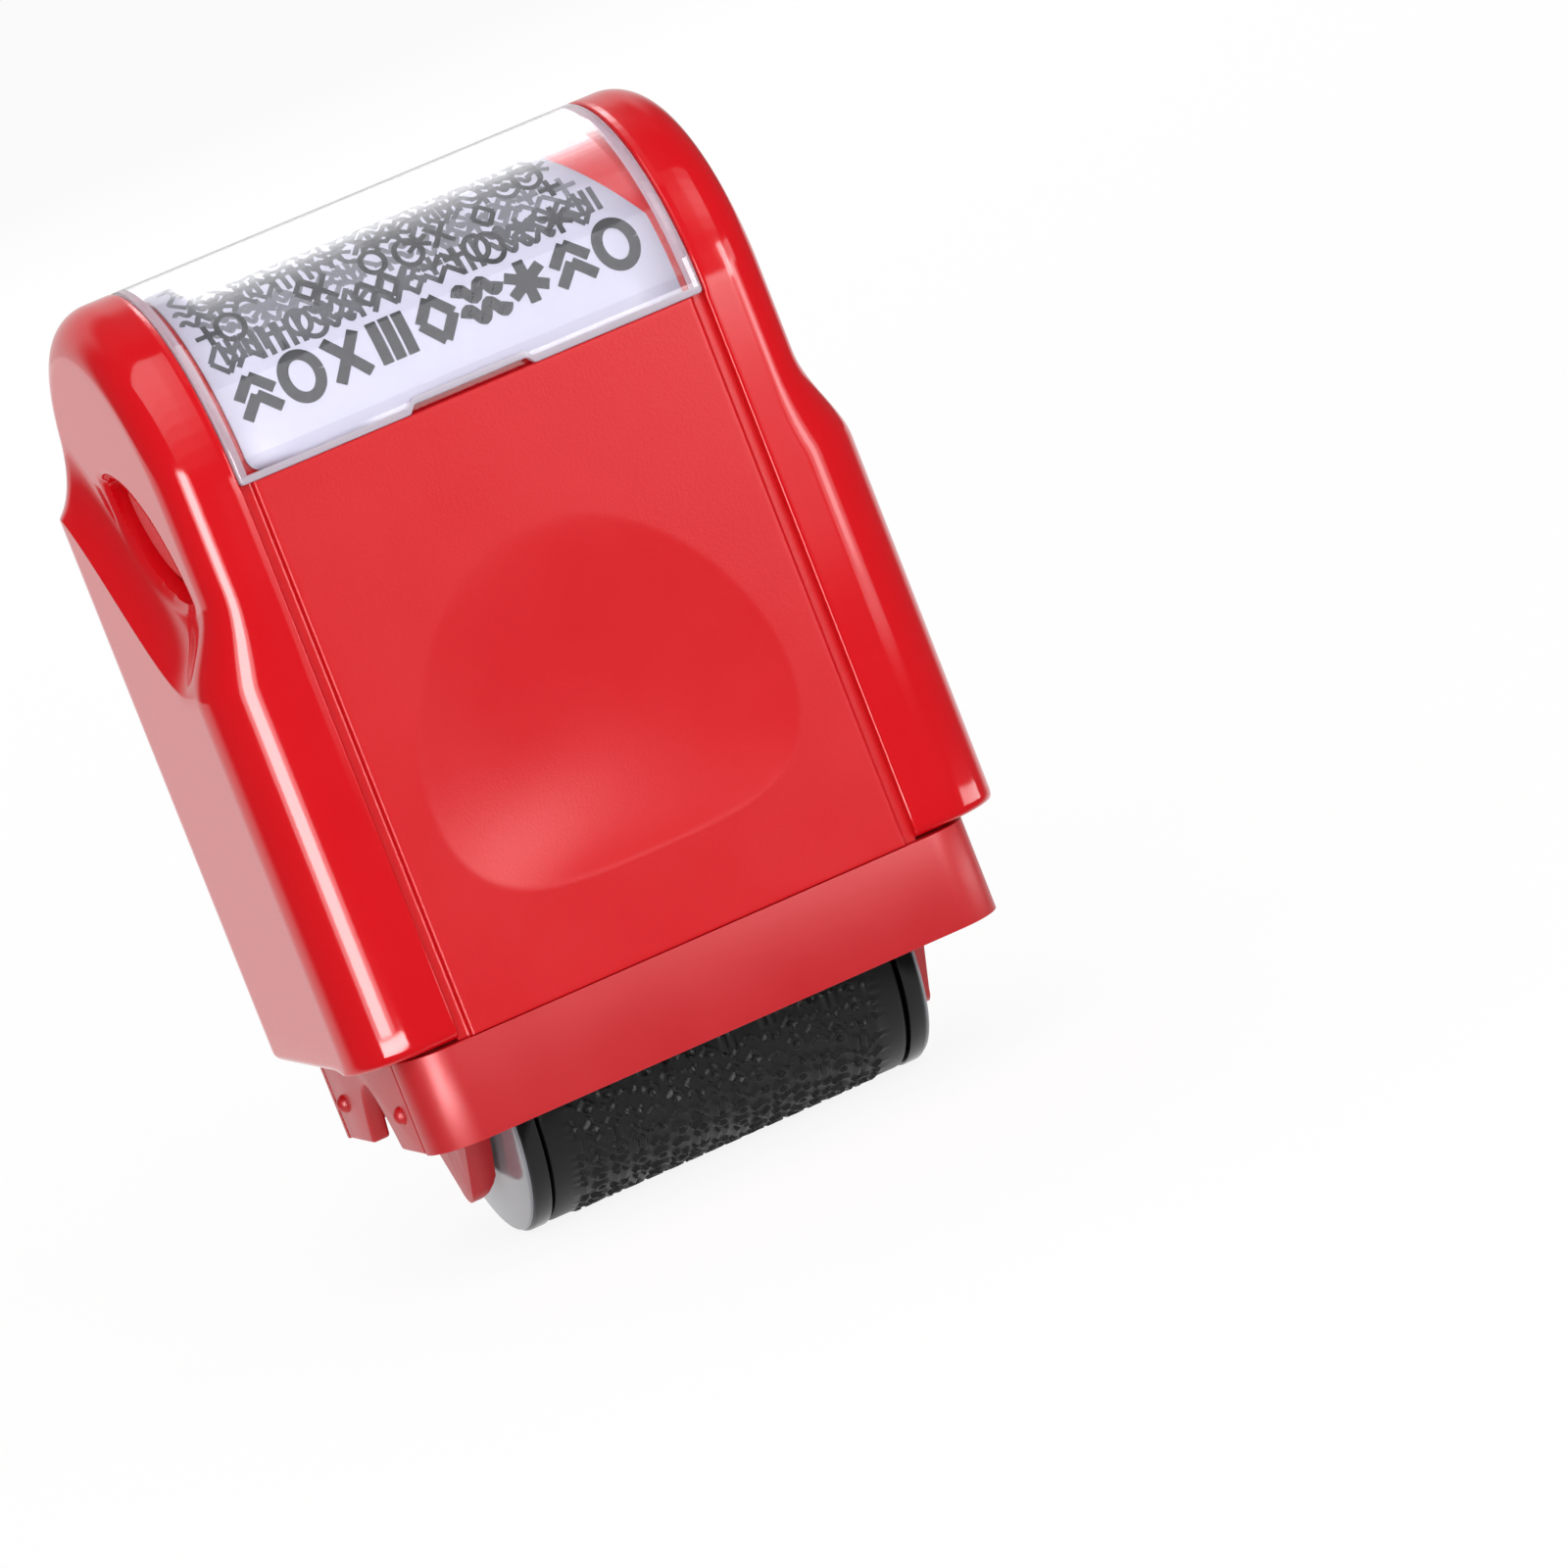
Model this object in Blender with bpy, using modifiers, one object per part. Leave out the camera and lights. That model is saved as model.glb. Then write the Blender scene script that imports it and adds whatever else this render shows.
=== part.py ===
"""Wide privacy roller stamp: a casing with a window, and an ink cartridge that drops out of it.

Frame: the paper is the plane z = 0, the rollers lie along X, the thumb panel faces -Y and the
origin is under the middle of the print roller. Every size is in metres.
"""
from math import asin, cos, pi, radians, sin, sqrt

import bmesh
import bpy
import numpy as np
from mathutils import Matrix

# Fits
CLEARANCE = 0.0003
ARM_GAP = 0.0015

# Casing
CASE_WIDTH = 0.0620
CASE_DEPTH = 0.0350
CASE_ABOVE_AXLE = 0.0074
PANEL_HEIGHT = 0.0506
HEAD_INSET = 0.0028
CORNER_ACROSS = 0.0050
CORNER_DEEP = 0.0046
FOOT_ROUND = 0.0009
RIDGE_FRONT = 0.0348
RIDGE_RISE = 0.0176
RIDGE_START = 0.0085
RIDGE_RUN = 0.0240
FLARE_FRONT = 0.0076
FLARE_BACK = 0.0065
FLARE_TURN = radians(60)
HEAD_WALL = 0.0018
SIDE_WALL = 0.0034
FLOOR_WALL = 0.0014
HOLE_LENGTH = 0.0178
HOLE_WIDTH = 0.0076
HOLE_TILT = radians(37)
HOLE_FORWARD = 0.0037
HOLE_BELOW_SPRING = 0.0029

# Window, label and grip panels
CHEEK_WIDTH = 0.0091
GROOVE_WIDTH = 0.0011
WINDOW_THICKNESS = 0.0012
NOTCH_WIDTH = 0.0120
NOTCH_HEIGHT = 0.0007
NOTCH_SLANT = 0.0008
LABEL_MARGIN = 0.0019
LABEL_THICKNESS = 0.0002
LABEL_FOOT = 0.0005
LABEL_SWEEP = radians(122)
LABEL_TAPER = 0.0047
TAPER_START = radians(26)
TAPER_END = radians(60)
PANEL_THICKNESS = 0.0015
PANEL_SINK = 0.0002
DENT_LOW = 0.0083
DENT_TALL = 0.0295
DENT_BESIDE = 0.0039
DENT_DEPTH = 0.0020
DENT_MARGIN = 0.0010

# Print roller and ink roller
END_MARGIN = 0.0139
ROLLER_INSIDE = 0.0045
RUBBER_THICKNESS = 0.0013
CORE_WALL = 0.0018
FLANGE_THICKNESS = 0.0010
FLANGE_DROP = 0.0001
SPIGOT_LENGTH = 0.0020
INK_RADIUS = 0.0080
FOAM_THICKNESS = 0.0030
FOAM_SHORTER = 0.0004
INK_DISC_THICKNESS = 0.0010
INK_DISC_DROP = 0.0006
PRINT_AXLE_RADIUS = 0.0020
INK_AXLE_RADIUS = 0.0018
BUSH_WALL = 0.0012
AXLE_END = 0.0017
CLIP_THICKNESS = 0.0008
CLIP_WALL = 0.0015

# Cartridge frame
ARM_THICKNESS = 0.0024
ARM_TIP_HEIGHT = 0.0042
ARM_TIP_RADIUS = 0.0020
ARM_NECK_HALF_WIDTH = 0.0070
ARM_INSIDE_HOOD = 0.0006
ARM_ABOVE_INK_AXLE = 0.0087
SKIRT_STEP = 0.0037
SKIRT_SINK = 0.0001
SKIRT_HEIGHT = 0.0085
SKIRT_CORNER = 0.0046
SKIRT_WALL = 0.0017
SEAM_PAST_CORNER = 0.0002
GUIDE_HEIGHT = 0.0072
WEB_THICKNESS = 0.0024
NUB_RADIUS = 0.00085
NUB_FROM_SEAM = 0.0032
NUB_ABOVE_EDGE = 0.0035
ARCH_WIDTH = 0.0096
ARCH_HEIGHT = 0.0057
HOOD_GAP = 0.0015
HOOD_WALL = 0.0012
HOOD_CORNER = 0.0050
HOOD_ABOVE_FOAM = 0.0015

# Release latches
LATCH_PLATE = 0.0014
LATCH_ABOVE_HOOD = 0.0050
LATCH_TAIL = 0.0045
LATCH_FRONT_GAP = 0.0029
LATCH_BACK_GAP = 0.0071
LATCH_TOP_ABOVE_SPRING = 0.0045
LATCH_CORNER = 0.0025
LATCH_BARREL_RADIUS = 0.0021
LATCH_PIN_RADIUS = 0.0008
LUG_THICKNESS = 0.0020
LUG_REACH = 0.0024

# Places worked out from the sizes
PRINT_RADIUS = CASE_DEPTH / 2 - ROLLER_INSIDE
AXLE_Z = PRINT_RADIUS
INK_Z = AXLE_Z + PRINT_RADIUS + CLEARANCE + INK_RADIUS
CASE_FOOT = AXLE_Z + CASE_ABOVE_AXLE
SPRING_Z = CASE_FOOT + PANEL_HEIGHT
CASE_HALF_WIDTH = CASE_WIDTH / 2
HEAD_HALF_WIDTH = CASE_HALF_WIDTH - HEAD_INSET
CASE_HALF_DEPTH = CASE_DEPTH / 2
WINDOW_INSIDE = CASE_HALF_DEPTH - WINDOW_THICKNESS
LABEL_OUTSIDE = WINDOW_INSIDE - CLEARANCE
LABEL_INSIDE = LABEL_OUTSIDE - LABEL_THICKNESS
FLOOR_RADIUS = LABEL_INSIDE - CLEARANCE
CAVITY_HALF_DEPTH = FLOOR_RADIUS - FLOOR_WALL
PANEL_FACE = CASE_HALF_DEPTH - PANEL_SINK
RECESS_FLOOR = PANEL_FACE - PANEL_THICKNESS - CLEARANCE
WINDOW_WIDTH = CASE_WIDTH - 2 * CHEEK_WIDTH
LABEL_WIDTH = WINDOW_WIDTH - 2 * LABEL_MARGIN
RECESS_HALF_WIDTH = WINDOW_WIDTH / 2
PANEL_WIDTH = WINDOW_WIDTH - 2 * GROOVE_WIDTH
DENT_WIDTH = PANEL_WIDTH - 2 * DENT_BESIDE
SKIRT_TOP = CASE_FOOT - CLEARANCE
SKIRT_BOTTOM = SKIRT_TOP - SKIRT_HEIGHT
SKIRT_HALF_WIDTH = CASE_HALF_WIDTH - SKIRT_STEP
SKIRT_HALF_DEPTH = CASE_HALF_DEPTH - SKIRT_SINK
SKIRT_SEAM = SKIRT_HALF_DEPTH - SKIRT_CORNER - SEAM_PAST_CORNER
PRINT_HALF_LENGTH = CASE_HALF_WIDTH - END_MARGIN
FOAM_HALF_LENGTH = PRINT_HALF_LENGTH - FOAM_SHORTER
FLANGE_IN = PRINT_HALF_LENGTH + CLEARANCE
FLANGE_OUT = FLANGE_IN + FLANGE_THICKNESS
ARM_IN = FLANGE_OUT + ARM_GAP
ARM_OUT = ARM_IN + ARM_THICKNESS
AXLE_HALF_LENGTH = ARM_OUT + AXLE_END
HOOD_HALF_DEPTH = CAVITY_HALF_DEPTH - HOOD_GAP
HOOD_TOP = INK_Z + INK_RADIUS + HOOD_ABOVE_FOAM + HOOD_WALL
ARM_HALF_WIDTH = HOOD_HALF_DEPTH - ARM_INSIDE_HOOD
CORE_RADIUS = PRINT_RADIUS - RUBBER_THICKNESS - CLEARANCE
CORE_BORE = CORE_RADIUS - CORE_WALL
INK_CORE_RADIUS = INK_RADIUS - FOAM_THICKNESS - CLEARANCE
LATCH_FACE = HEAD_HALF_WIDTH - HEAD_WALL - CLEARANCE
LATCH_AXIS_X = LATCH_FACE - LATCH_PLATE / 2
LATCH_AXIS_Z = HOOD_TOP + LATCH_ABOVE_HOOD
LATCH_PAD_FRONT = CAVITY_HALF_DEPTH - LATCH_FRONT_GAP
LATCH_PAD_BACK = CAVITY_HALF_DEPTH - LATCH_BACK_GAP
LATCH_LUG_Y = (LATCH_PAD_FRONT + LATCH_PAD_BACK) / 2
LATCH_MIDDLE_Y = (LATCH_PAD_BACK - LATCH_PAD_FRONT) / 2

ROUND_STEPS = 48
SMALL_STEPS = 24
OVERCUT = 0.002
TINY = 0.00001


def clear_scene():
    for old in list(bpy.data.objects):
        bpy.data.objects.remove(old)


def collection(name):
    found = bpy.data.collections.new(name)
    bpy.context.scene.collection.children.link(found)
    return found


def plain_material(name, colour, roughness, metallic=0.0, alpha=1.0):
    """A Principled material from a linear colour."""
    made = bpy.data.materials.new(name)
    made.use_nodes = True
    made.diffuse_color = (*colour, alpha)
    shader = made.node_tree.nodes["Principled BSDF"]
    shader.inputs["Base Color"].default_value = (*colour, 1.0)
    shader.inputs["Roughness"].default_value = roughness
    shader.inputs["Metallic"].default_value = metallic
    shader.inputs["Alpha"].default_value = alpha
    return made


clear_scene()
PARTS = collection("privacy_roller_stamp")
CUTTERS = collection("cutters")

GLOSS_RED = plain_material("gloss_red_abs", (0.76, 0.012, 0.018), 0.12)
SATIN_RED = plain_material("grained_red_abs", (0.68, 0.03, 0.04), 0.45)
BAND_RED = plain_material("satin_red_abs", (0.60, 0.025, 0.03), 0.35)
CLEAR = plain_material("clear_polystyrene", (0.95, 0.97, 1.0), 0.04, alpha=0.3)
PAPER = plain_material("label_paper", (0.87, 0.86, 0.92), 0.6)
BLACK_ABS = plain_material("black_abs", (0.03, 0.03, 0.035), 0.35)
RUBBER = plain_material("black_rubber", (0.024, 0.025, 0.03), 0.5)
FOAM = plain_material("inked_foam", (0.012, 0.012, 0.014), 0.9)
STEEL = plain_material("bright_steel", (0.62, 0.62, 0.64), 0.25, metallic=1.0)
ACETAL = plain_material("white_acetal", (0.8, 0.8, 0.78), 0.35)


def empty(name, place, parent=None):
    """A frame on a joint's axis."""
    made = bpy.data.objects.new(name, None)
    PARTS.objects.link(made)
    made.empty_display_size = 0.01
    made.parent = parent
    made.matrix_world = Matrix.Translation(place)
    bpy.context.view_layer.update()
    return made


def add_part(made, finish, parent):
    """Put a sub-part in the parts' collection, under the frame it moves with."""
    PARTS.objects.link(made)
    made.data.materials.append(finish)
    made.parent = parent
    made.matrix_parent_inverse = parent.matrix_world.inverted()
    made.data.shade_smooth()
    made.data.set_sharp_from_angle(angle=radians(30))
    return made


def add_cutter(made):
    CUTTERS.objects.link(made)
    made.hide_render = True
    made.display_type = "WIRE"
    return made


def boolean(target, tool, operation="DIFFERENCE"):
    step = target.modifiers.new(tool.name, "BOOLEAN")
    step.operation = operation
    step.solver = "EXACT"
    step.object = tool


def from_bmesh(name, shape):
    bmesh.ops.recalc_face_normals(shape, faces=shape.faces)
    data = bpy.data.meshes.new(name)
    shape.to_mesh(data)
    shape.free()
    return bpy.data.objects.new(name, data)


def box(name, low, high):
    """A cube stretched between two corners."""
    size = [h - l for l, h in zip(low, high)]
    middle = [(h + l) / 2 for l, h in zip(low, high)]
    shape = bmesh.new()
    bmesh.ops.create_cube(shape, size=1.0)
    bmesh.ops.scale(shape, vec=size, verts=shape.verts)
    bmesh.ops.translate(shape, vec=middle, verts=shape.verts)
    return from_bmesh(name, shape)


def prism(name, outline, low, high, axis):
    """A flat outline carried along X (points are y, z), Y (points are x, z) or Z (points are x, y)."""
    place = "XYZ".index(axis)
    run = [0.0, 0.0, 0.0]
    run[place] = high - low
    shape = bmesh.new()
    corners = [shape.verts.new((*point[:place], low, *point[place:])) for point in outline]
    face = shape.faces.new(corners)
    swept = bmesh.ops.extrude_face_region(shape, geom=[face])
    moved = [item for item in swept["geom"] if isinstance(item, bmesh.types.BMVert)]
    bmesh.ops.translate(shape, vec=run, verts=moved)
    return from_bmesh(name, shape)


def turned(name, profile, centre, steps=ROUND_STEPS, solid=False):
    """Turn a profile of (place along X, radius) points about the X line through centre.

    The profile runs down the outer side from its high X end and back up the bore.
    """
    data = bpy.data.meshes.new(name)
    points = [(radius, 0.0, along) for along, radius in profile]
    count = len(points)
    edges = [(i, i + 1) for i in range(count - 1)]
    if not solid:
        edges.append((count - 1, 0))
    data.from_pydata(points, edges, [])
    made = bpy.data.objects.new(name, data)
    made.location = centre
    made.rotation_euler = (0.0, pi / 2, 0.0)
    screw = made.modifiers.new("turn", "SCREW")
    screw.axis = "Z"
    screw.angle = 2 * pi
    screw.steps = steps
    screw.render_steps = steps
    screw.use_merge_vertices = True
    screw.merge_threshold = TINY
    screw.use_smooth_shade = True
    return made


def other_hand(profile):
    """The same turned profile on the -X side."""
    return [(-along, radius) for along, radius in reversed(profile)]


def ring(low, high, outside, bore):
    return [(high, outside), (low, outside), (low, bore), (high, bore)]


def arc(centre, radius, start, end, count):
    """Points round a circle from one angle to another, both ends in."""
    angles = np.linspace(start, end, count)
    return [(centre[0] + radius * cos(a), centre[1] + radius * sin(a)) for a in angles]


def smooth(t):
    t = np.clip(t, 0.0, 1.0)
    return t * t * (3 - 2 * t)


def ridge_height(y):
    """The sharp ridge over the wide lower sides: low in front and high at the back."""
    return CASE_FOOT + RIDGE_FRONT + RIDGE_RISE * smooth((y + RIDGE_START) / RIDGE_RUN)


def flare_height(y):
    """How far the hollow flare climbs above the ridge."""
    return FLARE_FRONT + (FLARE_BACK - FLARE_FRONT) * smooth((y + RIDGE_START) / RIDGE_RUN)


def side_path(height, half_depth, front):
    """A point of the side view's outline, and its inward direction, from its height.

    The outline runs straight up to the spring line, then round the dome.
    """
    side = -1.0 if front else 1.0
    if height <= SPRING_Z:
        return side * half_depth, height, -side, 0.0
    rise = min((height - SPRING_Z) / half_depth, 1.0)
    lean = asin(rise)
    y = side * half_depth * cos(lean)
    z = SPRING_Z + half_depth * rise
    return y, z, -side * cos(lean), -rise


def dome_heights(start, half_depth, count):
    """Heights from start to the crest, evenly spaced along the outline."""
    straight = max(SPRING_Z - start, 0.0)
    lean = asin(max(start - SPRING_Z, 0.0) / half_depth)
    total = straight + half_depth * (pi / 2 - lean)
    heights = []
    for run in np.linspace(0.0, total, count):
        if run <= straight:
            heights.append(start + run)
        else:
            heights.append(SPRING_Z + half_depth * sin(lean + (run - straight) / half_depth))
    return heights


def casing_form(name, low_half, head_half, half_depth, across, deep, foot, foot_round=0.0):
    """The casing's outer form, or its hollow: rounded plan, diagonal flare on the sides, domed top.

    Each row is a closed loop round the form. Rows go from the foot to the ridge, over the hollow
    flare to the crease above it, and on to the crest, where front and back meet.
    """
    rim = np.linspace(0.0, pi / 2, 6)
    spread = np.linspace(0.0, 1.0, 11)[1:-1]
    inner_y = half_depth - deep
    rows = []
    if foot_round:
        for turn in np.linspace(0.0, pi / 2, 4):
            inset = foot_round * (1 - sin(turn))
            rows.append((foot + foot_round * (1 - cos(turn)),) * 2 + (low_half - inset, inset, "level"))
    else:
        rows.append((foot, foot, low_half, 0.0, "level"))
    for turn in np.linspace(FLARE_TURN, 0.0, 6):
        share = 1 - sin(turn) / sin(FLARE_TURN)
        across_flare = (low_half - head_half) * (1 - cos(turn)) / (1 - cos(FLARE_TURN))
        front = ridge_height(-inner_y) + flare_height(-inner_y) * share
        back = ridge_height(inner_y) + flare_height(inner_y) * share
        rows.append((front, back, head_half + across_flare, 0.0, share))
    front_heights = dome_heights(rows[-1][0], half_depth, 14)
    back_heights = dome_heights(rows[-1][1], half_depth, 14)
    steps = len(front_heights) - 1
    for index in range(1, steps + 1):
        rows.append((front_heights[index], back_heights[index], head_half, 0.0, 1.0 + index / steps))
    points = []
    for front, back, half, inset, kind in rows:
        right = []
        fy, fz, f_in_y, f_in_z = side_path(front, half_depth - inset, True)
        by, bz, b_in_y, b_in_z = side_path(back, half_depth - inset, False)
        for turn in rim:
            sink = deep * (1 - cos(turn))
            right.append((half - across + across * sin(turn), fy + f_in_y * sink, fz + f_in_z * sink))
        start, end = right[-1], (half, by + b_in_y * deep, bz + b_in_z * deep)
        for share in spread:
            y = start[1] + (end[1] - start[1]) * share
            z = start[2] + (end[2] - start[2]) * share
            if kind != "level":
                climb = min(kind, 1.0)
                line = ridge_height(y) + flare_height(y) * climb
                chord = chord_height(climb, inner_y, y)
                z += (line - chord) * (2.0 - max(kind, 1.0))
            right.append((half, y, z))
        for turn in rim[::-1]:
            sink = deep * (1 - cos(turn))
            right.append((half - across + across * sin(turn), by + b_in_y * sink, bz + b_in_z * sink))
        left = [(-x, y, z) for x, y, z in reversed(right)]
        points.append(right + left)
    return skin(name, points)


def chord_height(climb, inner_y, y):
    """Height of the straight line between a flare row's front and back ends."""
    front = ridge_height(-inner_y) + flare_height(-inner_y) * climb
    back = ridge_height(inner_y) + flare_height(inner_y) * climb
    return front + (back - front) * (y + inner_y) / (2 * inner_y)


def skin(name, loops):
    """Join closed loops of points into a solid, with its first loop capped."""
    shape = bmesh.new()
    rows = [[shape.verts.new(point) for point in loop] for loop in loops]
    count = len(rows[0])
    for low, high in zip(rows, rows[1:]):
        for i in range(count):
            j = (i + 1) % count
            shape.faces.new((low[i], low[j], high[j], high[i]))
    shape.faces.new(rows[0])
    bmesh.ops.remove_doubles(shape, verts=shape.verts, dist=TINY)
    return from_bmesh(name, shape)


def dent_half_width(t):
    """Half width of the thumb dent at a share t of its height: broad and flat below, narrow above."""
    peak = (1 / 3) ** 0.25 * (2 / 3) ** 0.5
    t = np.clip(t, 0.0, 1.0)
    return DENT_WIDTH / 2 * t ** 0.25 * (1 - t) ** 0.5 / peak


def dent_depth(x, z):
    """Depth of the thumb dent: a bowl that is steep at its lower edge and fades out above."""
    t = np.clip((z - CASE_FOOT - DENT_LOW) / DENT_TALL, 0.0, 1.0)
    half = np.maximum(dent_half_width(t), TINY)
    bowl = np.clip(1 - (x / half) ** 2, 0.0, 1.0) ** 1.2
    peak = 0.375 ** 0.6 * 0.625
    return DENT_DEPTH * bowl * t ** 0.6 * (1 - t) / peak


def sheet(name, grid, thickness, finish, parent):
    """A moulded sheet: an open grid of points, given its wall by Solidify."""
    rows, columns = len(grid), len(grid[0])
    points = [point for row in grid for point in row]
    faces = []
    for i in range(rows - 1):
        for j in range(columns - 1):
            first = i * columns + j
            faces.append((first, first + 1, first + columns + 1, first + columns))
    data = bpy.data.meshes.new(name)
    data.from_pydata(points, [], faces)
    made = add_part(bpy.data.objects.new(name, data), finish, parent)
    wall = made.modifiers.new("wall", "SOLIDIFY")
    wall.thickness = thickness
    wall.offset = -1.0
    wall.use_even_offset = False
    return made


def latch_lug(name, side, y, width):
    """A lug on the casing's inner wall that holds one end of a latch's pin."""
    outer = CASE_HALF_WIDTH - SIDE_WALL + OVERCUT / 2
    inner = LATCH_AXIS_X - LUG_REACH
    low, high = sorted((side * inner, side * outer))
    low_z, high_z = LATCH_AXIS_Z - LUG_REACH, LATCH_AXIS_Z + LUG_REACH
    return add_cutter(box(name, (low, y - width / 2, low_z), (high, y + width / 2, high_z)))


def rod(name, radius, length, middle, turn_about):
    """A round bar: turned about X it lies along Y, and turned about Y it lies along X."""
    shape = bmesh.new()
    bmesh.ops.create_cone(shape, cap_ends=True, segments=SMALL_STEPS, radius1=radius, radius2=radius,
                          depth=length)
    bmesh.ops.rotate(shape, verts=shape.verts, matrix=Matrix.Rotation(pi / 2, 3, turn_about))
    bmesh.ops.translate(shape, vec=middle, verts=shape.verts)
    return from_bmesh(name, shape)


def outer_casing(parent):
    made = casing_form("outer_casing", CASE_HALF_WIDTH, HEAD_HALF_WIDTH, CASE_HALF_DEPTH,
                       CORNER_ACROSS, CORNER_DEEP, CASE_FOOT, FOOT_ROUND)
    add_part(made, GLOSS_RED, parent)
    cavity = casing_form("casing_hollow", CASE_HALF_WIDTH - SIDE_WALL, HEAD_HALF_WIDTH - HEAD_WALL,
                         CAVITY_HALF_DEPTH, CORNER_ACROSS - HEAD_WALL, CORNER_DEEP - HEAD_WALL,
                         CASE_FOOT - OVERCUT)
    boolean(made, add_cutter(cavity))
    ledge = SPRING_Z - CLEARANCE
    window_half = WINDOW_WIDTH / 2 + CLEARANCE
    crown = [(CASE_HALF_DEPTH + OVERCUT, ledge)]
    crown += arc((0.0, SPRING_Z), CASE_HALF_DEPTH + OVERCUT, 0.0, pi, 13)
    crown += [(-CASE_HALF_DEPTH - OVERCUT, ledge), (-FLOOR_RADIUS, ledge)]
    crown += arc((0.0, SPRING_Z), FLOOR_RADIUS, pi, 0.0, 29)
    crown += [(FLOOR_RADIUS, ledge)]
    boolean(made, add_cutter(prism("window_recess", crown, -window_half, window_half, "X")))
    for side, name in ((-1, "front"), (1, "rear")):
        low, high = sorted((side * RECESS_FLOOR, side * (CASE_HALF_DEPTH + OVERCUT)))
        recess = box(name + "_panel_recess", (-RECESS_HALF_WIDTH, low, CASE_FOOT - OVERCUT),
                     (RECESS_HALF_WIDTH, high, SPRING_Z))
        boolean(made, add_cutter(recess))
        shares = 0.5 - 0.5 * np.cos(np.linspace(0.0, pi, 15))
        dent_foot = CASE_FOOT + DENT_LOW - DENT_MARGIN
        tall = DENT_TALL + 2 * DENT_MARGIN
        right = [(dent_half_width(t) + DENT_MARGIN * (0 < t < 1), dent_foot + tall * t) for t in shares]
        outline = right + [(-x, z) for x, z in reversed(right[1:-1])]
        low, high = sorted((side * (CAVITY_HALF_DEPTH - OVERCUT), side * (RECESS_FLOOR + OVERCUT / 2)))
        boolean(made, add_cutter(prism(name + "_dent_opening", outline, low, high, "Y")))
    for side, name in ((-1, "left"), (1, "right")):
        boolean(made, add_cutter(side_hole(name + "_side_hole", side)))
        for y_side, end in ((-1, "front"), (1, "rear")):
            y = LATCH_MIDDLE_Y + y_side * (LATCH_LUG_Y + CLEARANCE + LUG_THICKNESS / 2)
            boolean(made, latch_lug(f"{name}_{end}_lug", side, y, LUG_THICKNESS), "UNION")
        reach = LATCH_LUG_Y + CLEARANCE + LUG_THICKNESS + OVERCUT
        bore = rod(name + "_pin_bore", LATCH_PIN_RADIUS + CLEARANCE, 2 * reach,
                   (side * LATCH_AXIS_X, LATCH_MIDDLE_Y, LATCH_AXIS_Z), "X")
        boolean(made, add_cutter(bore))
    return made


def side_hole(name, side):
    """The slanting finger hole over the flare: a lens with pointed ends, high at the back."""
    outline = []
    for turn in np.linspace(0.0, 2 * pi, 31)[:-1]:
        u = HOLE_LENGTH / 2 * cos(turn)
        v = HOLE_WIDTH / 2 * sin(turn) * sqrt(abs(sin(turn)))
        y = -HOLE_FORWARD + u * cos(HOLE_TILT) - v * sin(HOLE_TILT)
        z = SPRING_Z - HOLE_BELOW_SPRING + u * sin(HOLE_TILT) + v * cos(HOLE_TILT)
        outline.append((y, z))
    low, high = sorted((side * (LATCH_FACE - CLEARANCE), side * (CASE_HALF_WIDTH + OVERCUT)))
    return prism(name, outline, low, high, "X")


def grip_panel(name, side, parent):
    """A matte grip panel with a thumb dent, let into the casing between two grooves."""
    low, high = CASE_FOOT + CLEARANCE, SPRING_Z - CLEARANCE
    grid = []
    for z in np.linspace(low, high, 25):
        row = []
        for x in np.linspace(-PANEL_WIDTH / 2, PANEL_WIDTH / 2, 19):
            row.append((-side * x, side * (PANEL_FACE - dent_depth(x, z)), z))
        grid.append(row)
    return sheet(name, grid, PANEL_THICKNESS, SATIN_RED, parent)


def index_label(parent):
    """The printed label on the dome's floor; the upper half of its right edge leans in."""
    start = LABEL_FOOT / LABEL_OUTSIDE
    grid = []
    for turn in np.linspace(start, start + LABEL_SWEEP, 21):
        taper = LABEL_TAPER * np.clip((turn - TAPER_START) / (TAPER_END - TAPER_START), 0.0, 1.0)
        left = -LABEL_WIDTH / 2
        right = LABEL_WIDTH / 2 - taper
        y = -LABEL_OUTSIDE * cos(turn)
        z = SPRING_Z + LABEL_OUTSIDE * sin(turn)
        grid.append([(x, y, z) for x in np.linspace(left, right, 3)])
    return sheet("index_label", grid, LABEL_THICKNESS, PAPER, parent)


def window_cover(parent):
    """A clear half-round cover that lifts off upwards, with a nail notch front and rear."""
    half = WINDOW_WIDTH / 2
    notch_foot = NOTCH_WIDTH / 2
    notch_head = notch_foot - NOTCH_SLANT
    notch_outline = [(notch_foot, SPRING_Z - OVERCUT), (notch_foot, SPRING_Z)]
    notch_outline.append((notch_head, SPRING_Z + NOTCH_HEIGHT))
    notch_outline += [(-x, z) for x, z in reversed(notch_outline)]
    outline = arc((0.0, SPRING_Z), CASE_HALF_DEPTH, 0.0, pi, 37)
    outline += arc((0.0, SPRING_Z), WINDOW_INSIDE, pi, 0.0, 37)
    made = add_part(prism("window_cover", outline, -half, half, "X"), CLEAR, parent)
    for side, name in ((-1, "front"), (1, "rear")):
        low, high = sorted((side * (WINDOW_INSIDE - OVERCUT), side * (CASE_HALF_DEPTH + OVERCUT)))
        notch = prism(name + "_nail_notch", notch_outline, low, high, "Y")
        boolean(made, add_cutter(notch))
    return made


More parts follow.
